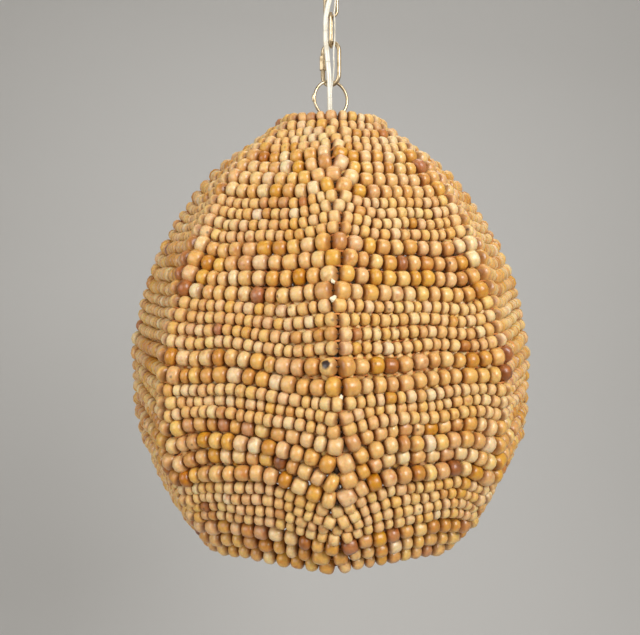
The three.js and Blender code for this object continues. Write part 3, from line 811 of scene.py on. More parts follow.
# Bead strands
# Thirty-seven strands of turned wooden beads on iron wire, in bands of large honey beads and small pale ones.
# Each strand lies over the ribs, tied to each, and sags or climbs a little between them.
small_bead = 0.012
large_bead = 0.016
neck_bead = 0.0132
small_length_share = 0.9
large_length_share = 0.92
bead_swell = 1.06
beside_rib_swell = 1.13
beside_rib_length = 1.12
width_shares = (0.93, 1.05)
length_shares = (0.84, 1.16)
bead_offset = 0.0006
bead_tilt = 0.06
hue_middle = 0.45
hue_spread = 0.25
dark_bead_tints = (0.05, 0.2)
tint_limits = (0.27, 0.98)
# Each wood has its chance of a dark bead, its middle tint and the spread of its tints.
wood_tints = {"wood_small": (0.008, 0.62, 0.14), "wood_large": (0.022, 0.56, 0.165)}
burnt_row = 21
burnt_bead_share = 0.62
burnt_spot_shares = (-0.18, -0.46, 0.2)
burn_reach = 0.0078
hem_rise = 0.0015
slit = 0.0019
slit_shift_share = 0.5
strand_seed = 1000
# Each band has its bead, its number of rows, how loosely they lie and its wood.
bands = [
    (neck_bead, 5, 1.17, "wood_small"),
    (large_bead, 4, 1.08, "wood_large"),
    (small_bead, 4, 1.1, "wood_small"),
    (large_bead, 4, 1.04, "wood_large"),
    (small_bead, 4, 1.1, "wood_small"),
    (large_bead, 2, 1.17, "wood_large"),
    (small_bead, 3, 1.1, "wood_small"),
    (large_bead, 4, 1.06, "wood_large"),
    (small_bead, 4, 0.93, "wood_small"),
    (large_bead, 3, 1.23, "wood_large"),
]
# The solids hold two or three rows each.
row_solids = [3, 2, 2, 2, 2, 2, 2, 2, 2, 2, 2, 3, 2, 2, 2, 2, 3]
# These tables go down the shade, from 0 at its top to 1 at its hem: how flat a panel is, how far a row sags
# between two ribs, how far it hangs low, how proud it lies on a rib, and how far it wanders.
panel_flat_shares = [(0, 0.06), (0.92, 0.06), (1, 0.03)]
sag_reach_share = 0.38
sag_shares = [
    (0, 0), (0.11, 0.011), (0.18, 0.019), (0.3, 0.016), (0.42, 0.011), (0.52, 0.005), (0.59, 0),
    (0.66, -0.012), (0.73, -0.028), (0.81, -0.05), (0.88, -0.042), (0.94, -0.025), (1, -0.011),
]
row_drops = [(0, 0), (0.72, 0), (0.78, 0.004), (0.86, 0.005), (1, 0.0055)]
rib_rises = [
    (0, 0.001), (0.3, 0.003), (0.5, 0.0046), (0.64, 0.005), (0.73, -0.002), (0.82, -0.001), (1, 0.001),
]
wander_reaches = [(0, 0.0055), (0.7, 0.0055), (0.82, 0.0085), (1, 0.007)]
# The four rows of the crown are moved along the shade and outwards.
crown_moves = [(-0.005, 0.0024), (-0.0033, -0.0004), (-0.0017, -0.0015), (-0.0008, -0.0015)]
rib_rise_share = 0.13
stagger_share = 0.4
wander_around = 3.2
wander_down = 13
wander_shift = Vector((7, 3, 5))
wander_rise_share = 0.5
wander_start_share = 0.125
strand_steps = 48
# On the front rib each row's slit lies beside the rib by its own share of a bead.
front_slit_shifts = [
    0.5, -0.4, 0.45, -0.3, -0.15, -0.15, -0.1, 0.5, 0, 0.3, -0.3, 0.5, 0.35, -0.3, 0.35, 0.15, -0.2, -0.4,
    0.1, 0.1, 0.1, 0.05, 0.3, 0.5, 0.1, 0.35, 0.45, 0, 0.15, 0.05, -0.5, 0.05, -0.45, 0.4, 0.3, -0.2, 0.1,
]
round_bead_shares = [(0.1, 0.497), (0.27, 0.445), (0.4, 0.325), (0.475, 0.13)]
barrel_bead_shares = [(0.15, 0.495), (0.33, 0.455), (0.44, 0.355), (0.485, 0.15)]
bead_end_share = 0.43
barrel_chance = 0.42


def bead_rows():
    rows = [{"bead": bead, "pitch": bead * loose, "slot": slot}
            for bead, count, loose, slot in bands for _ in range(count)]
    arc = 0
    for before, row in zip([None, *rows], rows):
        arc += (before["pitch"] + row["pitch"]) / 2 if before else 0
        row["arc"] = arc
    for row in rows:
        row["arc"] *= profile_length / arc
        row["arc"] += share_at(row_drops, row["arc"] / profile_length)
    for row, (shift, _) in zip(rows, crown_moves):
        row["arc"] += shift
    return rows


def share_at(table, place):
    place = max(place, table[0][0])
    for (start, low_share), (end, high_share) in zip(table, table[1:]):
        if place <= end:
            return low_share + (high_share - low_share) * (place - start) / (end - start)
    return table[-1][1]


def rib_distance(panel_share):
    return min(panel_share, 1 - panel_share)


def azimuth_at(panel, panel_share):
    return rib_azimuth(panel) + panel_share * math.tau / rib_count


def panel_steps():
    return [(panel, step, step / strand_steps) for panel in range(rib_count) for step in range(strand_steps)]


def strand_arc(row, panel_share):
    reach = math.sin(math.pi / 2 * min(1, rib_distance(panel_share) / sag_reach_share))
    return row["arc"] + shade_height * share_at(sag_shares, row["arc"] / profile_length) * reach


def stagger(index, panel_share):
    push = 0
    here = strand_arc(rows[index], panel_share)
    for other in (index - 1, index + 1):
        if 0 <= other < len(rows):
            apart = abs(strand_arc(rows[other], panel_share) - here)
            needed = (rows[index]["bead"] + rows[other]["bead"]) / 2
            push = max(push, math.sqrt(max(0, needed**2 - apart**2)))
    at_rib = max(0, 1 - rib_distance(panel_share) / rib_rise_share) ** 2
    rise = share_at(rib_rises, rows[index]["arc"] / profile_length) * at_rib
    if index < len(crown_moves):
        rise += crown_moves[index][1]
    if index == len(rows) - 1:
        rise += hem_rise
    return rise + push * (stagger_share if index % 2 else -stagger_share)


def strand_place(index, panel, panel_share, outward=0.0, along=0.0):
    arc = strand_arc(rows[index], panel_share) + along
    flat = 1 - share_at(panel_flat_shares, arc / profile_length) * 4 * panel_share * (1 - panel_share)
    radius, drop = on_profile(arc, outward, flat)
    return round_shade(radius, drop, azimuth_at(panel, panel_share))


def wander(index, panel, panel_share):
    around = toward(azimuth_at(panel, panel_share)) * wander_around
    place = around + Vector((0, 0, rows[index]["arc"] * wander_down))
    reach = share_at(wander_reaches, rows[index]["arc"] / profile_length)
    return noise.noise(place) * reach, noise.noise(place + wander_shift) * reach


def strand_line(index):
    line = []
    for panel, step, panel_share in panel_steps():
        drift, rise = wander(index, panel, panel_share)
        loose = min(1, rib_distance(panel_share) / wander_start_share)
        outward = stagger(index, panel_share) + rise * loose * wander_rise_share
        line.append(strand_place(index, panel, panel_share, outward, drift * loose))
    return line


rows = bead_rows()
strand_lines = [strand_line(index) for index in range(len(rows))]


knot_scale = 42.0
stain_scale = 75.0
cloud_scale = 110.0
pore_scale = 1500.0
fibre_scale = (90.0, 420.0, 420.0)
cloud_reach = 0.34
grain_depth = 0.00012
glow_depth = 0.004
# Red heartwood, which is also the colour of the painted shade at each bead's ends.
heartwood_and_shade_colour = (0.44, 0.115, 0.012, 1)
burn_colour = (0.03, 0.014, 0.008, 1)
# Each range gives its two results, and where they are reached if that isn't at 0 and 1.
saturation_range = (1.06, 0.85)
hue_range = (0.505, 0.4965)
stain_range = (0.0, 0.62, 0.6, 0.74)
# Painted shade: each bead reddens towards its ends, where it meets the next bead.
end_shade_red_range = (0.0, 0.66, 0.5, 0.95)
streak_range = (0.6, 1.22)
knot_range = (0.34, 1.0, 0.03, 0.09)
# Painted shade: each bead darkens towards its ends, where it meets the next bead.
end_shade_range = (1.0, 0.66, 0.6, 0.95)
char_range = (0.0, 1.0, 0.3, 0.5)


def combined(tree, operation, *values):
    node = node_in(tree, "ShaderNodeMath", {"operation": operation})
    for value, socket in zip(values, node.inputs):
        join(tree, value, socket)
    return node.outputs[0]


def mixed(tree, share, first, second):
    node = node_in(tree, "ShaderNodeMix", {"data_type": "RGBA"}, Factor=share)
    join(tree, first, node.inputs[6])
    join(tree, second, node.inputs[7])
    return node.outputs[2]


def bead_mark(tree, name, output="Fac"):
    return node_in(tree, "ShaderNodeAttribute", {"attribute_name": name}).outputs[output]


def bead_wood(name, ramp, rough, pore_strength, coat):
    material, tree, shader = shader_of(name)
    place = bead_mark(tree, "grain_place", "Vector")
    stretched = node_in(tree, "ShaderNodeMapping", Vector=place, Scale=fibre_scale).outputs["Vector"]
    fibre = noise_on(tree, stretched, 1.0, 4.0, 0.6)
    cloud = noise_on(tree, place, cloud_scale, 3.0)
    pore = noise_on(tree, place, pore_scale, 2.0)
    stain = noise_on(tree, place, stain_scale, 3.0)
    knot = node_in(tree, "ShaderNodeTexVoronoi", Vector=place, Scale=knot_scale).outputs["Distance"]

    # Each bead has its own tint and hue, which drift a little over the bead.
    drift = combined(tree, "MULTIPLY_ADD", cloud, cloud_reach, -cloud_reach / 2)
    base = colour_ramp(tree, combined(tree, "ADD", bead_mark(tree, "bead_tint"), drift), ramp)
    own_hue = bead_mark(tree, "bead_hue")
    greyed = value_range(tree, own_hue, *saturation_range)
    hue = value_range(tree, own_hue, *hue_range)
    toned = node_in(tree, "ShaderNodeHueSaturation", Color=base, Saturation=greyed, Hue=hue).outputs["Color"]

    # Stain patches bring out the red heartwood, and painted shade reddens each bead towards its ends, where
    # it meets the next bead.
    edge = bead_mark(tree, "bead_edge")
    stained = value_range(tree, stain, *stain_range)
    end_shade_red = value_range(tree, edge, *end_shade_red_range)
    heartwood_and_shade = mixed(tree, combined(tree, "MAXIMUM", stained, end_shade_red), toned, heartwood_and_shade_colour)

    # Streaks and knots darken it, painted shade darkens its ends where the beads meet, and one bead is burnt.
    streak = value_range(tree, fibre, *streak_range)
    knotted = combined(tree, "MULTIPLY", streak, value_range(tree, knot, *knot_range))
    dimmed = combined(tree, "MULTIPLY", knotted, value_range(tree, edge, *end_shade_range))
    shaded = node_in(tree, "ShaderNodeVectorMath", {"operation": "SCALE"}, Scale=dimmed)
    join(tree, heartwood_and_shade, shaded.inputs[0])
    charred = value_range(tree, bead_mark(tree, "bead_burn"), *char_range)
    burnt = mixed(tree, charred, shaded.outputs["Vector"], burn_colour)

    feed(tree, shader, Base_Color=burnt, Roughness=value_range(tree, cloud, rough - 0.1, rough + 0.14),
         Specular_IOR_Level=0.5, Subsurface_Weight=0.2, Subsurface_Radius=(1.0, 0.32, 0.1),
         Subsurface_Scale=glow_depth, Coat_Weight=coat, Coat_Roughness=0.28)
    bumped(tree, shader, combined(tree, "ADD", fibre, pore), grain_depth, pore_strength)
    return material


small_wood_ramp = [
    (0.0, (0.22, 0.065, 0.010)), (0.13, (0.44, 0.155, 0.024)), (0.34, (0.64, 0.320, 0.075)),
    (0.55, (0.74, 0.425, 0.128)), (0.78, (0.77, 0.510, 0.200)), (1.0, (0.79, 0.610, 0.330)),
]
large_wood_ramp = [
    (0.0, (0.20, 0.058, 0.008)), (0.14, (0.44, 0.140, 0.018)), (0.34, (0.62, 0.285, 0.048)),
    (0.55, (0.74, 0.398, 0.100)), (0.78, (0.78, 0.505, 0.185)), (1.0, (0.80, 0.620, 0.340)),
]
bead_woods = {"wood_small": bead_wood("small_bead_wood", small_wood_ramp, 0.5, 0.6, 0.12),
              "wood_large": bead_wood("large_bead_wood", large_wood_ramp, 0.36, 0.35, 0.3)}


def bead_pattern(half_shares, sides=10):
    half = [(radius, along) for along, radius in half_shares]
    other_half = [(radius, -along) for radius, along in reversed(half)]
    return mesh_of(turned_shape([(0, -bead_end_share), *other_half, *half, (0, bead_end_share)], sides))


round_bead = bead_pattern(round_bead_shares)
barrel_bead = bead_pattern(barrel_bead_shares)


def bead_tint(dice, slot):
    dark_chance, middle, spread = wood_tints[slot]
    if dice.random() < dark_chance:
        return dice.uniform(*dark_bead_tints)
    lowest, highest = tint_limits
    return min(highest, max(lowest, dice.gauss(middle, spread)))


def bead_ends(dice, bead, start, end):
    share = small_length_share if bead < large_bead else large_length_share
    room = end - start
    count = max(2, round(room / (bead * share)))
    parts = [dice.uniform(*length_shares) for _ in range(count)]
    parts[0] *= beside_rib_length
    parts[-1] *= beside_rib_length
    ends = [start]
    for part in parts:
        ends.append(ends[-1] + room * part / sum(parts))
    return ends


def line_place(line, arcs, distance):
    distance %= arcs[-1]
    low_index, high_index = span_at(arcs, distance)
    part = (distance - arcs[low_index]) / (arcs[high_index] - arcs[low_index])
    return line[low_index].lerp(line[high_index % len(line)], part)


def random_direction(dice):
    return Vector((dice.gauss(0, 1), dice.gauss(0, 1), dice.gauss(0, 1)))


def threaded_beads(line, bead, slot, slits, gap, dice, burnt_spot=None):
    arcs = arcs_of([*line, line[0]])
    beads = []
    for start, end in zip(slits, [*slits[1:], slits[0] + arcs[-1]]):
        ends = bead_ends(dice, bead, start + gap / 2, end - gap / 2)
        last = len(ends) - 2
        beads += [(*pair, spot in (0, last)) for spot, pair in enumerate(zip(ends, ends[1:]))]
    shape = bmesh.new()
    tint_layer = shape.verts.layers.float.new("bead_tint")
    hue_layer = shape.verts.layers.float.new("bead_hue")
    edge_layer = shape.verts.layers.float.new("bead_edge")
    burn_layer = shape.verts.layers.float.new("bead_burn")
    grain_layer = shape.verts.layers.float_vector.new("grain_place")
    for start, end, beside_rib in beads:
        first = len(shape.verts)
        shape.from_mesh(barrel_bead if dice.random() < barrel_chance else round_bead)
        shape.verts.ensure_lookup_table()
        made = shape.verts[first:]
        width = bead * bead_swell * dice.uniform(*width_shares) * (beside_rib_swell if beside_rib else 1.0)
        near_end, far_end = line_place(line, arcs, start), line_place(line, arcs, end)
        middle = (near_end + far_end) / 2
        outward = Vector((middle.x, middle.y, 0)).normalized()
        middle += outward * dice.uniform(-bead_offset, bead_offset)
        middle += Vector((0, 0, dice.uniform(-bead_offset, bead_offset)))
        along = (far_end - near_end).normalized() + random_direction(dice) * bead_tilt
        along.normalize()
        turn = along.to_track_quat("Z", "Y").to_matrix().to_4x4()
        spin = Matrix.Rotation(dice.uniform(0, math.tau), 4, "Z")
        grain_axis = random_direction(dice).normalized()
        grain_turn = Matrix.Rotation(dice.uniform(0, math.tau), 3, grain_axis)
        grain_shift = Vector((dice.random(), dice.random(), dice.random()))
        tint = bead_tint(dice, slot)
        hue = min(1, max(0, dice.gauss(hue_middle, hue_spread)))
        size = Vector((width, width, end - start))
        for vertex in made:
            vertex[tint_layer] = tint
            vertex[hue_layer] = hue
            vertex[edge_layer] = abs(vertex.co.z) * 2
            vertex[grain_layer] = grain_turn @ (vertex.co * size) + grain_shift
        scale = Matrix.Diagonal((*size, 1))
        bmesh.ops.transform(shape, matrix=Matrix.Translation(middle) @ turn @ spin @ scale, verts=made)
        if burnt_spot:
            for vertex in made:
                vertex[burn_layer] = max(0, 1 - (vertex.co - burnt_spot).length / burn_reach)
    return mesh_of(shape)


def strand_beads(index):
    row = rows[index]
    dice = random.Random(strand_seed + index)
    line = strand_lines[index]
    arcs = arcs_of([*line, line[0]])
    shifts = [dice.uniform(-slit_shift_share, slit_shift_share) for _ in range(rib_count - 1)]
    shifts.insert(0, front_slit_shifts[index])
    slits = [arcs[number * strand_steps] + shift * row["bead"] for number, shift in enumerate(shifts)]
    burnt_spot = None
    if index == burnt_row:
        burnt_spot = line_place(line, arcs, slits[0] - row["bead"] * burnt_bead_share)
        burnt_spot += Vector(burnt_spot_shares) * row["bead"]
    return threaded_beads(line, row["bead"], row["slot"], slits, slit, dice, burnt_spot)


bead_crease = math.radians(60)
solid_of_row = []
first = 1
for count in row_solids:
    solid_of_row += [f"bead_rows_{first:02d}_{first + count - 1:02d}"] * count
    first += count
for index, row in enumerate(rows):
    place_piece(f"bead_row_{index + 1:02d}", strand_beads(index), bead_woods[row["slot"]], "shade",
                [solid_of_row[index]], bead_crease)


# Tucked strands
# Where two rows lie apart, a strand of small beads is tucked in behind the gap. It lies inside the ribs'
# circle and stops short of each rib.
tucked_gap = -0.0002
tucked_gap_low = -0.0016
low_row = 26
tucked_bead = 0.0118
tucked_inset = 0.0084
tucked_rib_gap = 0.0095
outward_probe = 1.0
downward_probe = 0.001
gap_look_shares = (0, 0.12, 0.25, 0.5)
tucked_seed = 3000


def between_rows(index, panel, step, inset, along=0.0):
    panel_share = step / strand_steps
    here = strand_place(index, panel, panel_share)
    outward = strand_place(index, panel, panel_share, outward_probe) - here
    downward = (strand_place(index, panel, panel_share, 0.0, downward_probe) - here).normalized()
    number = panel * strand_steps + step
    middle = (strand_lines[index][number] + strand_lines[index + 1][number]) / 2
    return middle - outward.normalized() * inset + downward * along


def gap_below(index):
    widest = max(strand_arc(rows[index + 1], panel_share) - strand_arc(rows[index], panel_share)
                 for panel_share in gap_look_shares)
    return widest - (rows[index]["bead"] + rows[index + 1]["bead"]) / 2 * bead_swell


for index in range(len(rows) - 1):
    if gap_below(index) > (tucked_gap if index < low_row else tucked_gap_low):
        line = [between_rows(index, panel, step, tucked_inset) for panel, step, _ in panel_steps()]
        arcs = arcs_of([*line, line[0]])
        slits = [arcs[number * strand_steps] for number in range(rib_count)]
        dice = random.Random(tucked_seed + index)
        mesh = threaded_beads(line, tucked_bead, "wood_small", slits, tucked_rib_gap, dice)
        place_piece(f"tucked_strand_{index + 1:02d}", mesh, bead_woods["wood_small"], "shade",
                    smooth_angle=bead_crease)


# Binding twine
# Rust coloured twine runs behind the beads from row to row and holds the strands together. It shows between
# them as orange flecks.
twine_radius = 0.0012
twine_inset = 0.0042
twine_rib_share = 0.45
twine_reach = 6
twine_waver = 0.0011
twine_fuzz = 0.0003
twine_seed = 5000
wire_crease = math.radians(80)


def rust_twine():
    material, tree, shader = shader_of("rust_twine")
    place = object_place(tree)
    fibre = noise_on(tree, place, 1300.0, 4.0)
    patch = noise_on(tree, place, 55.0, 2.0)
    tone = colour_ramp(tree, patch, [(0.3, (0.36, 0.10, 0.02)), (0.7, (0.62, 0.25, 0.06))])
    feed(tree, shader, Base_Color=tone, Roughness=value_range(tree, fibre, 0.75, 0.95))
    bumped(tree, shader, fibre, twine_fuzz, 0.7)
    return material


def twine_line(index):
    dice = random.Random(twine_seed + index)
    line = []
    for panel, step, panel_share in panel_steps():
        loose = min(1, twine_reach * rib_distance(panel_share))
        inset = twine_inset * (twine_rib_share + (1 - twine_rib_share) * loose)
        waver = dice.uniform(-twine_waver, twine_waver)
        line.append(between_rows(index, panel, step, inset, waver))
    return line


twine = bmesh.new()
for index in range(len(rows) - 1):
    twine.from_mesh(wire_mesh(twine_line(index), twine_radius, closed=True, sides=6))
place_piece("binding_twine", mesh_of(twine), rust_twine(), "shade", smooth_angle=wire_crease)


# Strand wires and ties
# Each strand is threaded on dark iron wire, which shows in the gaps at the ribs. There, three turns of the
# same wire bind the strand to the rib.
strand_wire = 0.0006
strand_wire_skip = 3
tie_wire = 0.0005
tie_turns = 3
tie_turn_steps = 10
tie_inset_share = 0.55
tie_half_width = 0.0026
tie_reach = 0.00391
tie_spread = 0.0042
rust_depth = 0.0001


def iron_wire():
    material, tree, shader = shader_of("iron_wire")
    rust = noise_on(tree, object_place(tree), 240.0, 5.0)
    tone = colour_ramp(tree, rust, [(0.35, (0.05, 0.028, 0.018)), (0.7, (0.16, 0.085, 0.045))])
    feed(tree, shader, Base_Color=tone, Metallic=0.5, Roughness=value_range(tree, rust, 0.4, 0.7))
    bumped(tree, shader, rust, rust_depth, 0.4)
    return material


iron = iron_wire()
wires = bmesh.new()
for line in strand_lines:
    wires.from_mesh(wire_mesh(line[::strand_wire_skip], strand_wire, closed=True, sides=6))
place_piece("strand_wires", mesh_of(wires), iron, "shade", smooth_angle=wire_crease)


def sideways(azimuth):
    return Vector((-math.sin(azimuth), math.cos(azimuth), 0))


def tie_points(index, number):
    azimuth = rib_azimuth(number)
    side = sideways(azimuth)
    radius, drop = on_profile(rows[index]["arc"], -rib_inset * tie_inset_share)
    centre = round_shade(radius, drop, azimuth)
    radius, drop = on_profile(rows[index]["arc"], 0)
    outward = (round_shade(radius, drop, azimuth) - centre).normalized()
    down = outward.cross(side)
    points = []
    steps = tie_turns * tie_turn_steps
    for step in range(steps + 1):
        angle = math.tau * step / tie_turn_steps
        around = side * tie_half_width * math.cos(angle) + outward * tie_reach * math.sin(angle)
        points.append(centre + around + down * (step / steps - 0.5) * tie_spread)
    return points


for number in range(rib_count):
    ties = bmesh.new()
    for index in range(len(rows)):
        ties.from_mesh(wire_mesh(tie_points(index, number), tie_wire, sides=6))
    place_piece(f"rib_{number + 1}_ties", mesh_of(ties), iron, "shade", smooth_angle=wire_crease)


# Raffia ends
# At a few places on the front rib the end of a strand was made fast with a twist of pale raffia, and the
# twist shows between two beads. Each has its row, its places aside and outward, its half sizes and its lean.
raffia_ends = [
    (11, 0.0, 0.0005, 0.0016, 0.0026, 0.3), (16.5, -0.0036, 0.0056, 0.0016, 0.0028, -0.5),
    (17.55, -0.003, 0.0058, 0.0024, 0.0036, 0.6), (23.55, 0.0034, 0.0042, 0.0018, 0.0026, 0.1),
]
raffia_knobble = 0.4
raffia_knobble_scale = 1.7
raffia_taper_share = 0.45
raffia_flat_share = 0.6
raffia_fibre_scale = (2600.0, 2600.0, 500.0)
raffia_fuzz = 0.0002


def raffia():
    material, tree, shader = shader_of("pale_raffia")
    place = object_place(tree)
    stretched = node_in(tree, "ShaderNodeMapping", Vector=place, Scale=raffia_fibre_scale).outputs["Vector"]
    fibre = noise_on(tree, stretched, 1.0, 4.0)
    tone = colour_ramp(tree, fibre, [(0.3, (0.72, 0.60, 0.36)), (0.65, (0.92, 0.86, 0.66))])
    feed(tree, shader, Base_Color=tone, Roughness=value_range(tree, fibre, 0.7, 0.5))
    bumped(tree, shader, fibre, raffia_fuzz, 0.6)
    return material


raffia_twists = bmesh.new()
for row_place, aside, outward, half_width, half_height, lean in raffia_ends:
    upper = rows[math.floor(row_place) - 1]["arc"]
    lower = rows[math.ceil(row_place) - 1]["arc"]
    radius, drop = on_profile(upper + (lower - upper) * (row_place % 1), outward)
    azimuth = rib_azimuth(0)
    place = round_shade(radius, drop, azimuth) + sideways(azimuth) * aside
    made = bmesh.ops.create_icosphere(raffia_twists, subdivisions=3, radius=1)["verts"]
    for vertex in made:
        spot = vertex.co * raffia_knobble_scale + Vector((row_place, 0, 0))
        vertex.co *= 1 + raffia_knobble * noise.noise(spot)
        vertex.co.x *= 1 - raffia_taper_share * vertex.co.z
    half_sizes = (half_width, half_width * raffia_flat_share, half_height)
    bmesh.ops.scale(raffia_twists, vec=half_sizes, verts=made)
    bmesh.ops.rotate(raffia_twists, matrix=Matrix.Rotation(lean, 3, "Y"), verts=made)
    bmesh.ops.translate(raffia_twists, vec=place, verts=made)
place_piece("raffia_twists", mesh_of(raffia_twists), raffia(), "shade", smooth_angle=bead_crease)


# Lights
# A painted stem tube carries a round cluster body, and a nut under the body holds it on the tube. Three ivory
# sockets hang from it, each with a frosted candle bulb screwed in.
frost_depth = 0.00003
smear_depth = 0.00004


def frosted_glass():
    material, tree, shader = shader_of("frosted_glass")
    place = object_place(tree)
    frost = noise_on(tree, place, 700.0, 3.0)
    haze = noise_on(tree, place, 30.0, 2.0)
    tone = colour_ramp(tree, haze, [(0.3, (0.80, 0.78, 0.74)), (0.7, (0.88, 0.87, 0.84))])
    feed(tree, shader, Base_Color=tone, Roughness=value_range(tree, frost, 0.25, 0.4),
         Transmission_Weight=0.35, IOR=1.45)
    bumped(tree, shader, frost, frost_depth, 0.4)
    return material


def lamp_brass():
    material, tree, shader = shader_of("lamp_brass")
    smear = noise_on(tree, object_place(tree), 160.0, 4.0)
    tone = colour_ramp(tree, smear, [(0.3, (0.50, 0.36, 0.14)), (0.7, (0.76, 0.60, 0.30))])
    feed(tree, shader, Base_Color=tone, Metallic=1, Roughness=value_range(tree, smear, 0.2, 0.38))
    bumped(tree, shader, smear, smear_depth, 0.3)
    return material


low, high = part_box("stem_tube")
stem_radius = high[1]
stem_bore = 0.0038
outline = [(stem_bore, low[2]), (stem_radius, low[2]), (stem_radius, high[2]), (stem_bore, high[2])]
turned_piece("stem_tube", "drawn", outline, 36, bronze, "shade")

low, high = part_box("cluster_body")
cluster_radius = high[1]
cluster_height = high[2] - low[2]
cluster_shares = [
    (1.0, 0.0), (1.0, 0.66), (0.985, 0.76), (0.94, 0.85), (0.86, 0.92), (0.77, 0.97), (0.7, 1.0),
]
outline = [(coupling_lower_bore, low[2]), (cluster_radius - hub_edge, low[2])]
outline += [(cluster_radius * out, low[2] + hub_edge + (cluster_height - hub_edge) * up)
            for out, up in cluster_shares]
outline += [(coupling_lower_bore, high[2])]
turned_piece("cluster_body", "spun", outline, 64, bronze, "shade")

low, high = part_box("cluster_nut")
nut_radius = high[1]
nut_height = high[2] - low[2]
nut_shares = [(0.0, 0.0), (0.32, 0.01), (0.6, 0.06), (0.82, 0.17), (0.95, 0.32), (1.0, 0.45), (1.0, 1.0)]
nut_floor = low[2] + 0.003
outline = [(nut_radius * out, low[2] + nut_height * up) for out, up in nut_shares]
outline += [(coupling_lower_bore, high[2]), (coupling_lower_bore, nut_floor), (0, nut_floor)]
turned_piece("cluster_nut", "turned", outline, 40, bronze, "shade")

glass = frosted_glass()
base_brass = lamp_brass()
socket_bore = 0.0065
socket_bore_depth = 0.021
socket_edge = 0.0012
socket_top_shares = [(1, 0.3), (0.9, 0.12), (0.76, 0)]
base_contact_shares = (0.35, 0.5, 0.86)
base_contact_height = 0.0012
base_shoulder = 0.0032
base_thread_top = 0.0034
base_thread_bottom = 0.003
base_skirt = 0.0026
base_skirt_shares = (0.93, 0.96)
lamp_thread_pitch = 0.0016
lamp_thread_depth = 0.0006
bulb_shares = [
    (0, 0), (0.36, 0.0), (0.39, 0.05), (0.52, 0.12), (0.72, 0.2), (0.88, 0.29), (0.97, 0.38), (1.0, 0.46),
    (0.985, 0.55), (0.93, 0.64), (0.83, 0.72), (0.69, 0.8), (0.52, 0.87), (0.35, 0.93), (0.18, 0.975),
    (0.07, 0.995), (0.0, 1.0),
]


def socket_outline(low, high):
    radius = (high[0] - low[0]) / 2
    floor = low[2] + socket_bore_depth
    outline = [(0, floor), (socket_bore, floor), (socket_bore, low[2]), (radius - socket_edge, low[2]),
               (radius, low[2] + socket_edge)]
    outline += [(radius * out, high[2] - radius * down) for out, down in socket_top_shares]
    return [*outline, (0, high[2])]


def base_outline(low, high):
    radius = (high[1] - low[1]) / 2
    tip, contact, shoulder = (radius * share for share in base_contact_shares)
    skirt_top, skirt_end = (radius * share for share in base_skirt_shares)
    outline = [(0, high[2]), (tip, high[2]), (contact, high[2] - base_contact_height),
               (shoulder, high[2] - base_shoulder)]
    outline += thread_outline(radius, high[2] - base_thread_top, low[2] + base_thread_bottom,
                              lamp_thread_pitch, lamp_thread_depth)
    return [*outline, (skirt_top, low[2] + base_skirt), (skirt_end, low[2]), (0, low[2])]


def bulb_outline(low, high):
    radius = (high[1] - low[1]) / 2
    return [(radius * out, high[2] - (high[2] - low[2]) * down) for out, down in bulb_shares]


for number in (1, 2, 3):
    bulb = f"bulb_{number}"
    middle = axis_of(f"bulb_glass_{number}")
    node = f"socket_{number}"
    turned_piece(node, "moulded", socket_outline(*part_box(node)), 48, ivory, "shade", middle)
    node = f"bulb_base_{number}"
    turned_piece(node, "rolled", base_outline(*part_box(node)), 40, base_brass, bulb, middle)
    node = f"bulb_glass_{number}"
    turned_piece(node, "blown", bulb_outline(*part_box(node)), 48, glass, bulb, middle)


# Cord and earth wire
# A flat two-core cord in a clear ivory jacket and a thin ivory earth wire. They leave the canopy, run down
# beside the chain and through the ring and the hub, and end at the top of the cluster body.
cord_width = 0.0062
cord_thickness = 0.0033
lobe_steps = 8
lobe_turn = math.radians(220)
groove_share = 0.72
earth_radius = 0.001
route_steps = 6
jacket_ripple = 0.0001
jacket_glow_depth = 0.002
cord_route = [
    (-0.0015, -0.022, -0.012), (-0.0015, -0.022, -0.022), (-0.0015, -0.022, -0.032),
    (-0.0012, -0.018, -0.044), (-0.0009, -0.0115, -0.058), (-0.001, -0.0072, -0.071),
    (-0.004, -0.006, -0.084), (-0.0063, -0.005, -0.097), (-0.0066, -0.0046, -0.112),
    (-0.0064, -0.0052, -0.126), (-0.0054, -0.0074, -0.136), (-0.004, -0.0082, -0.15),
    (-0.0026, -0.0082, -0.165), (-0.002, -0.0084, -0.176), (-0.0016, -0.0092, -0.188),
    (-0.0014, -0.011, -0.2), (-0.0013, -0.0136, -0.211), (-0.0012, -0.0155, -0.221),
    (-0.0012, -0.016, -0.231), (-0.0012, -0.016, -0.246), (-0.0012, -0.016, -0.285),
    (-0.0012, -0.016, -0.325), (-0.0012, -0.016, -0.354),
]
earth_route = [
    (-0.0015, -0.0189, -0.012), (-0.0015, -0.0189, -0.022), (-0.0015, -0.0189, -0.032),
    (0.0005, -0.0148, -0.043), (0.0038, -0.012, -0.052), (0.0052, -0.009, -0.061),
    (0.0054, -0.0068, -0.071), (0.0046, -0.0054, -0.084), (0.0036, -0.0049, -0.092),
    (0.0044, -0.0038, -0.101), (0.0045, -0.0038, -0.113), (0.0045, -0.0058, -0.121),
    (0.0043, -0.0078, -0.127), (0.0034, -0.0086, -0.134), (0.0032, -0.0086, -0.145),
    (0.0036, -0.0086, -0.155), (0.003, -0.007, -0.165), (0.002, -0.0056, -0.174),
    (0.001, -0.0052, -0.182), (0.0004, -0.0058, -0.192), (-0.0002, -0.0076, -0.202),
    (-0.0008, -0.0102, -0.212), (-0.0012, -0.0123, -0.222), (-0.0012, -0.0129, -0.232),
    (-0.0012, -0.0129, -0.246), (-0.0012, -0.0129, -0.285), (-0.0012, -0.0129, -0.325),
    (-0.0012, -0.0129, -0.354),
]
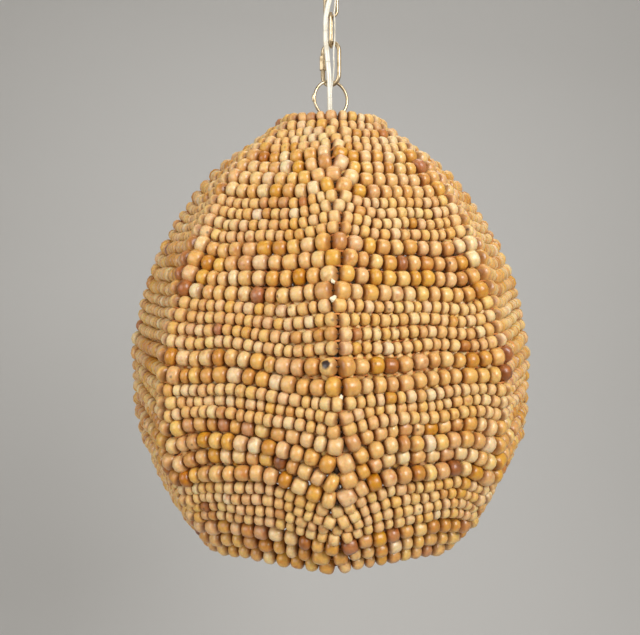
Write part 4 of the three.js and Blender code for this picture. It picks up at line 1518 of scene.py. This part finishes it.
# Each stretch has the bodies above and below it, its ends, and the heights where its bend starts and ends.
stretches = [
    ("canopy", "upper_link", 0, -0.075, -0.05, -0.07),
    ("upper_link", "lower_link", -0.075, -0.112, -0.084, -0.104),
    ("lower_link", "quick_link", -0.112, -0.151, -0.12, -0.142),
    ("quick_link", "hanging_ring", -0.151, -0.194, -0.166, -0.188),
    ("hanging_ring", "shade", -0.194, -0.4, -0.206, -0.226),
]


def cord_jacket():
    material, tree, shader = shader_of("cord_jacket")
    flow = noise_on(tree, object_place(tree), 90.0, 4.0)
    tone = colour_ramp(tree, flow, [(0.3, (0.64, 0.59, 0.47)), (0.7, (0.76, 0.73, 0.64))])
    feed(tree, shader, Base_Color=tone, Roughness=value_range(tree, flow, 0.22, 0.36), Subsurface_Weight=0.25,
         Subsurface_Radius=(1.0, 0.8, 0.5), Subsurface_Scale=jacket_glow_depth)
    bumped(tree, shader, flow, jacket_ripple, 0.3)
    return material


def twin_section():
    section = bpy.data.curves.new("twin_section", "CURVE")
    section.dimensions = "2D"
    corners = []
    lobe = cord_thickness / 2
    offset = cord_width / 2 - lobe
    for side in (1, -1):
        for step in range(lobe_steps + 1):
            turn = lobe_turn * (step / lobe_steps - 0.5)
            corners.append((side * (offset + lobe * math.cos(turn)), side * lobe * math.sin(turn), 0))
        corners.append((0, side * lobe * groove_share, 0))
    laid_along(section, corners).use_cyclic_u = True
    return placed("twin_section", section)


def cord_line(route, end_height):
    places = [Vector(place) for place in route]
    places[-1].z = end_height
    return smooth_line(places, route_steps)


def routed_mesh(line, section=None):
    if section is None:
        return wire_mesh(line, earth_radius, sides=10)
    curve = bpy.data.curves.new("cord", "CURVE")
    curve.dimensions = "3D"
    curve.twist_mode = "MINIMUM"
    curve.bevel_mode = "OBJECT"
    curve.bevel_object = section
    curve.use_fill_caps = True
    laid_along(curve, line)
    return solid_from(curve)


def cord_stretch(whole, top, bottom):
    shape = bmesh.new()
    shape.from_mesh(whole)
    for height, keep_side in ((top, 1), (bottom, -1)):
        every = [*shape.verts, *shape.edges, *shape.faces]
        bmesh.ops.bisect_plane(shape, geom=every, plane_co=(0, 0, height), plane_no=(0, 0, keep_side),
                               clear_outer=True)
    open_edges = [edge for edge in shape.edges if edge.is_boundary]
    if open_edges:
        bmesh.ops.holes_fill(shape, edges=open_edges)
    bmesh.ops.recalc_face_normals(shape, faces=shape.faces)
    return mesh_of(shape)


jacket = cord_jacket()
twin = twin_section()
low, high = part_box("supply_cord")
cords = {"supply_cord": (cord_line(cord_route, low[2]), twin, cord_width),
         "earth_wire": (cord_line(earth_route, low[2]), None, 2 * earth_radius)}
for node, (line, section, diameter) in cords.items():
    whole = routed_mesh(line, section)
    for number, (upper, lower, top, bottom, start, end) in enumerate(stretches):
        mesh = cord_stretch(whole, top, bottom)
        mesh.shade_smooth()
        mesh.materials.clear()
        mesh.materials.append(jacket)
        stretch = placed(f"{node}_stretch_{number + 1}", mesh)
        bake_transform(stretch)
        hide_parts(node)
bpy.data.objects.remove(twin)
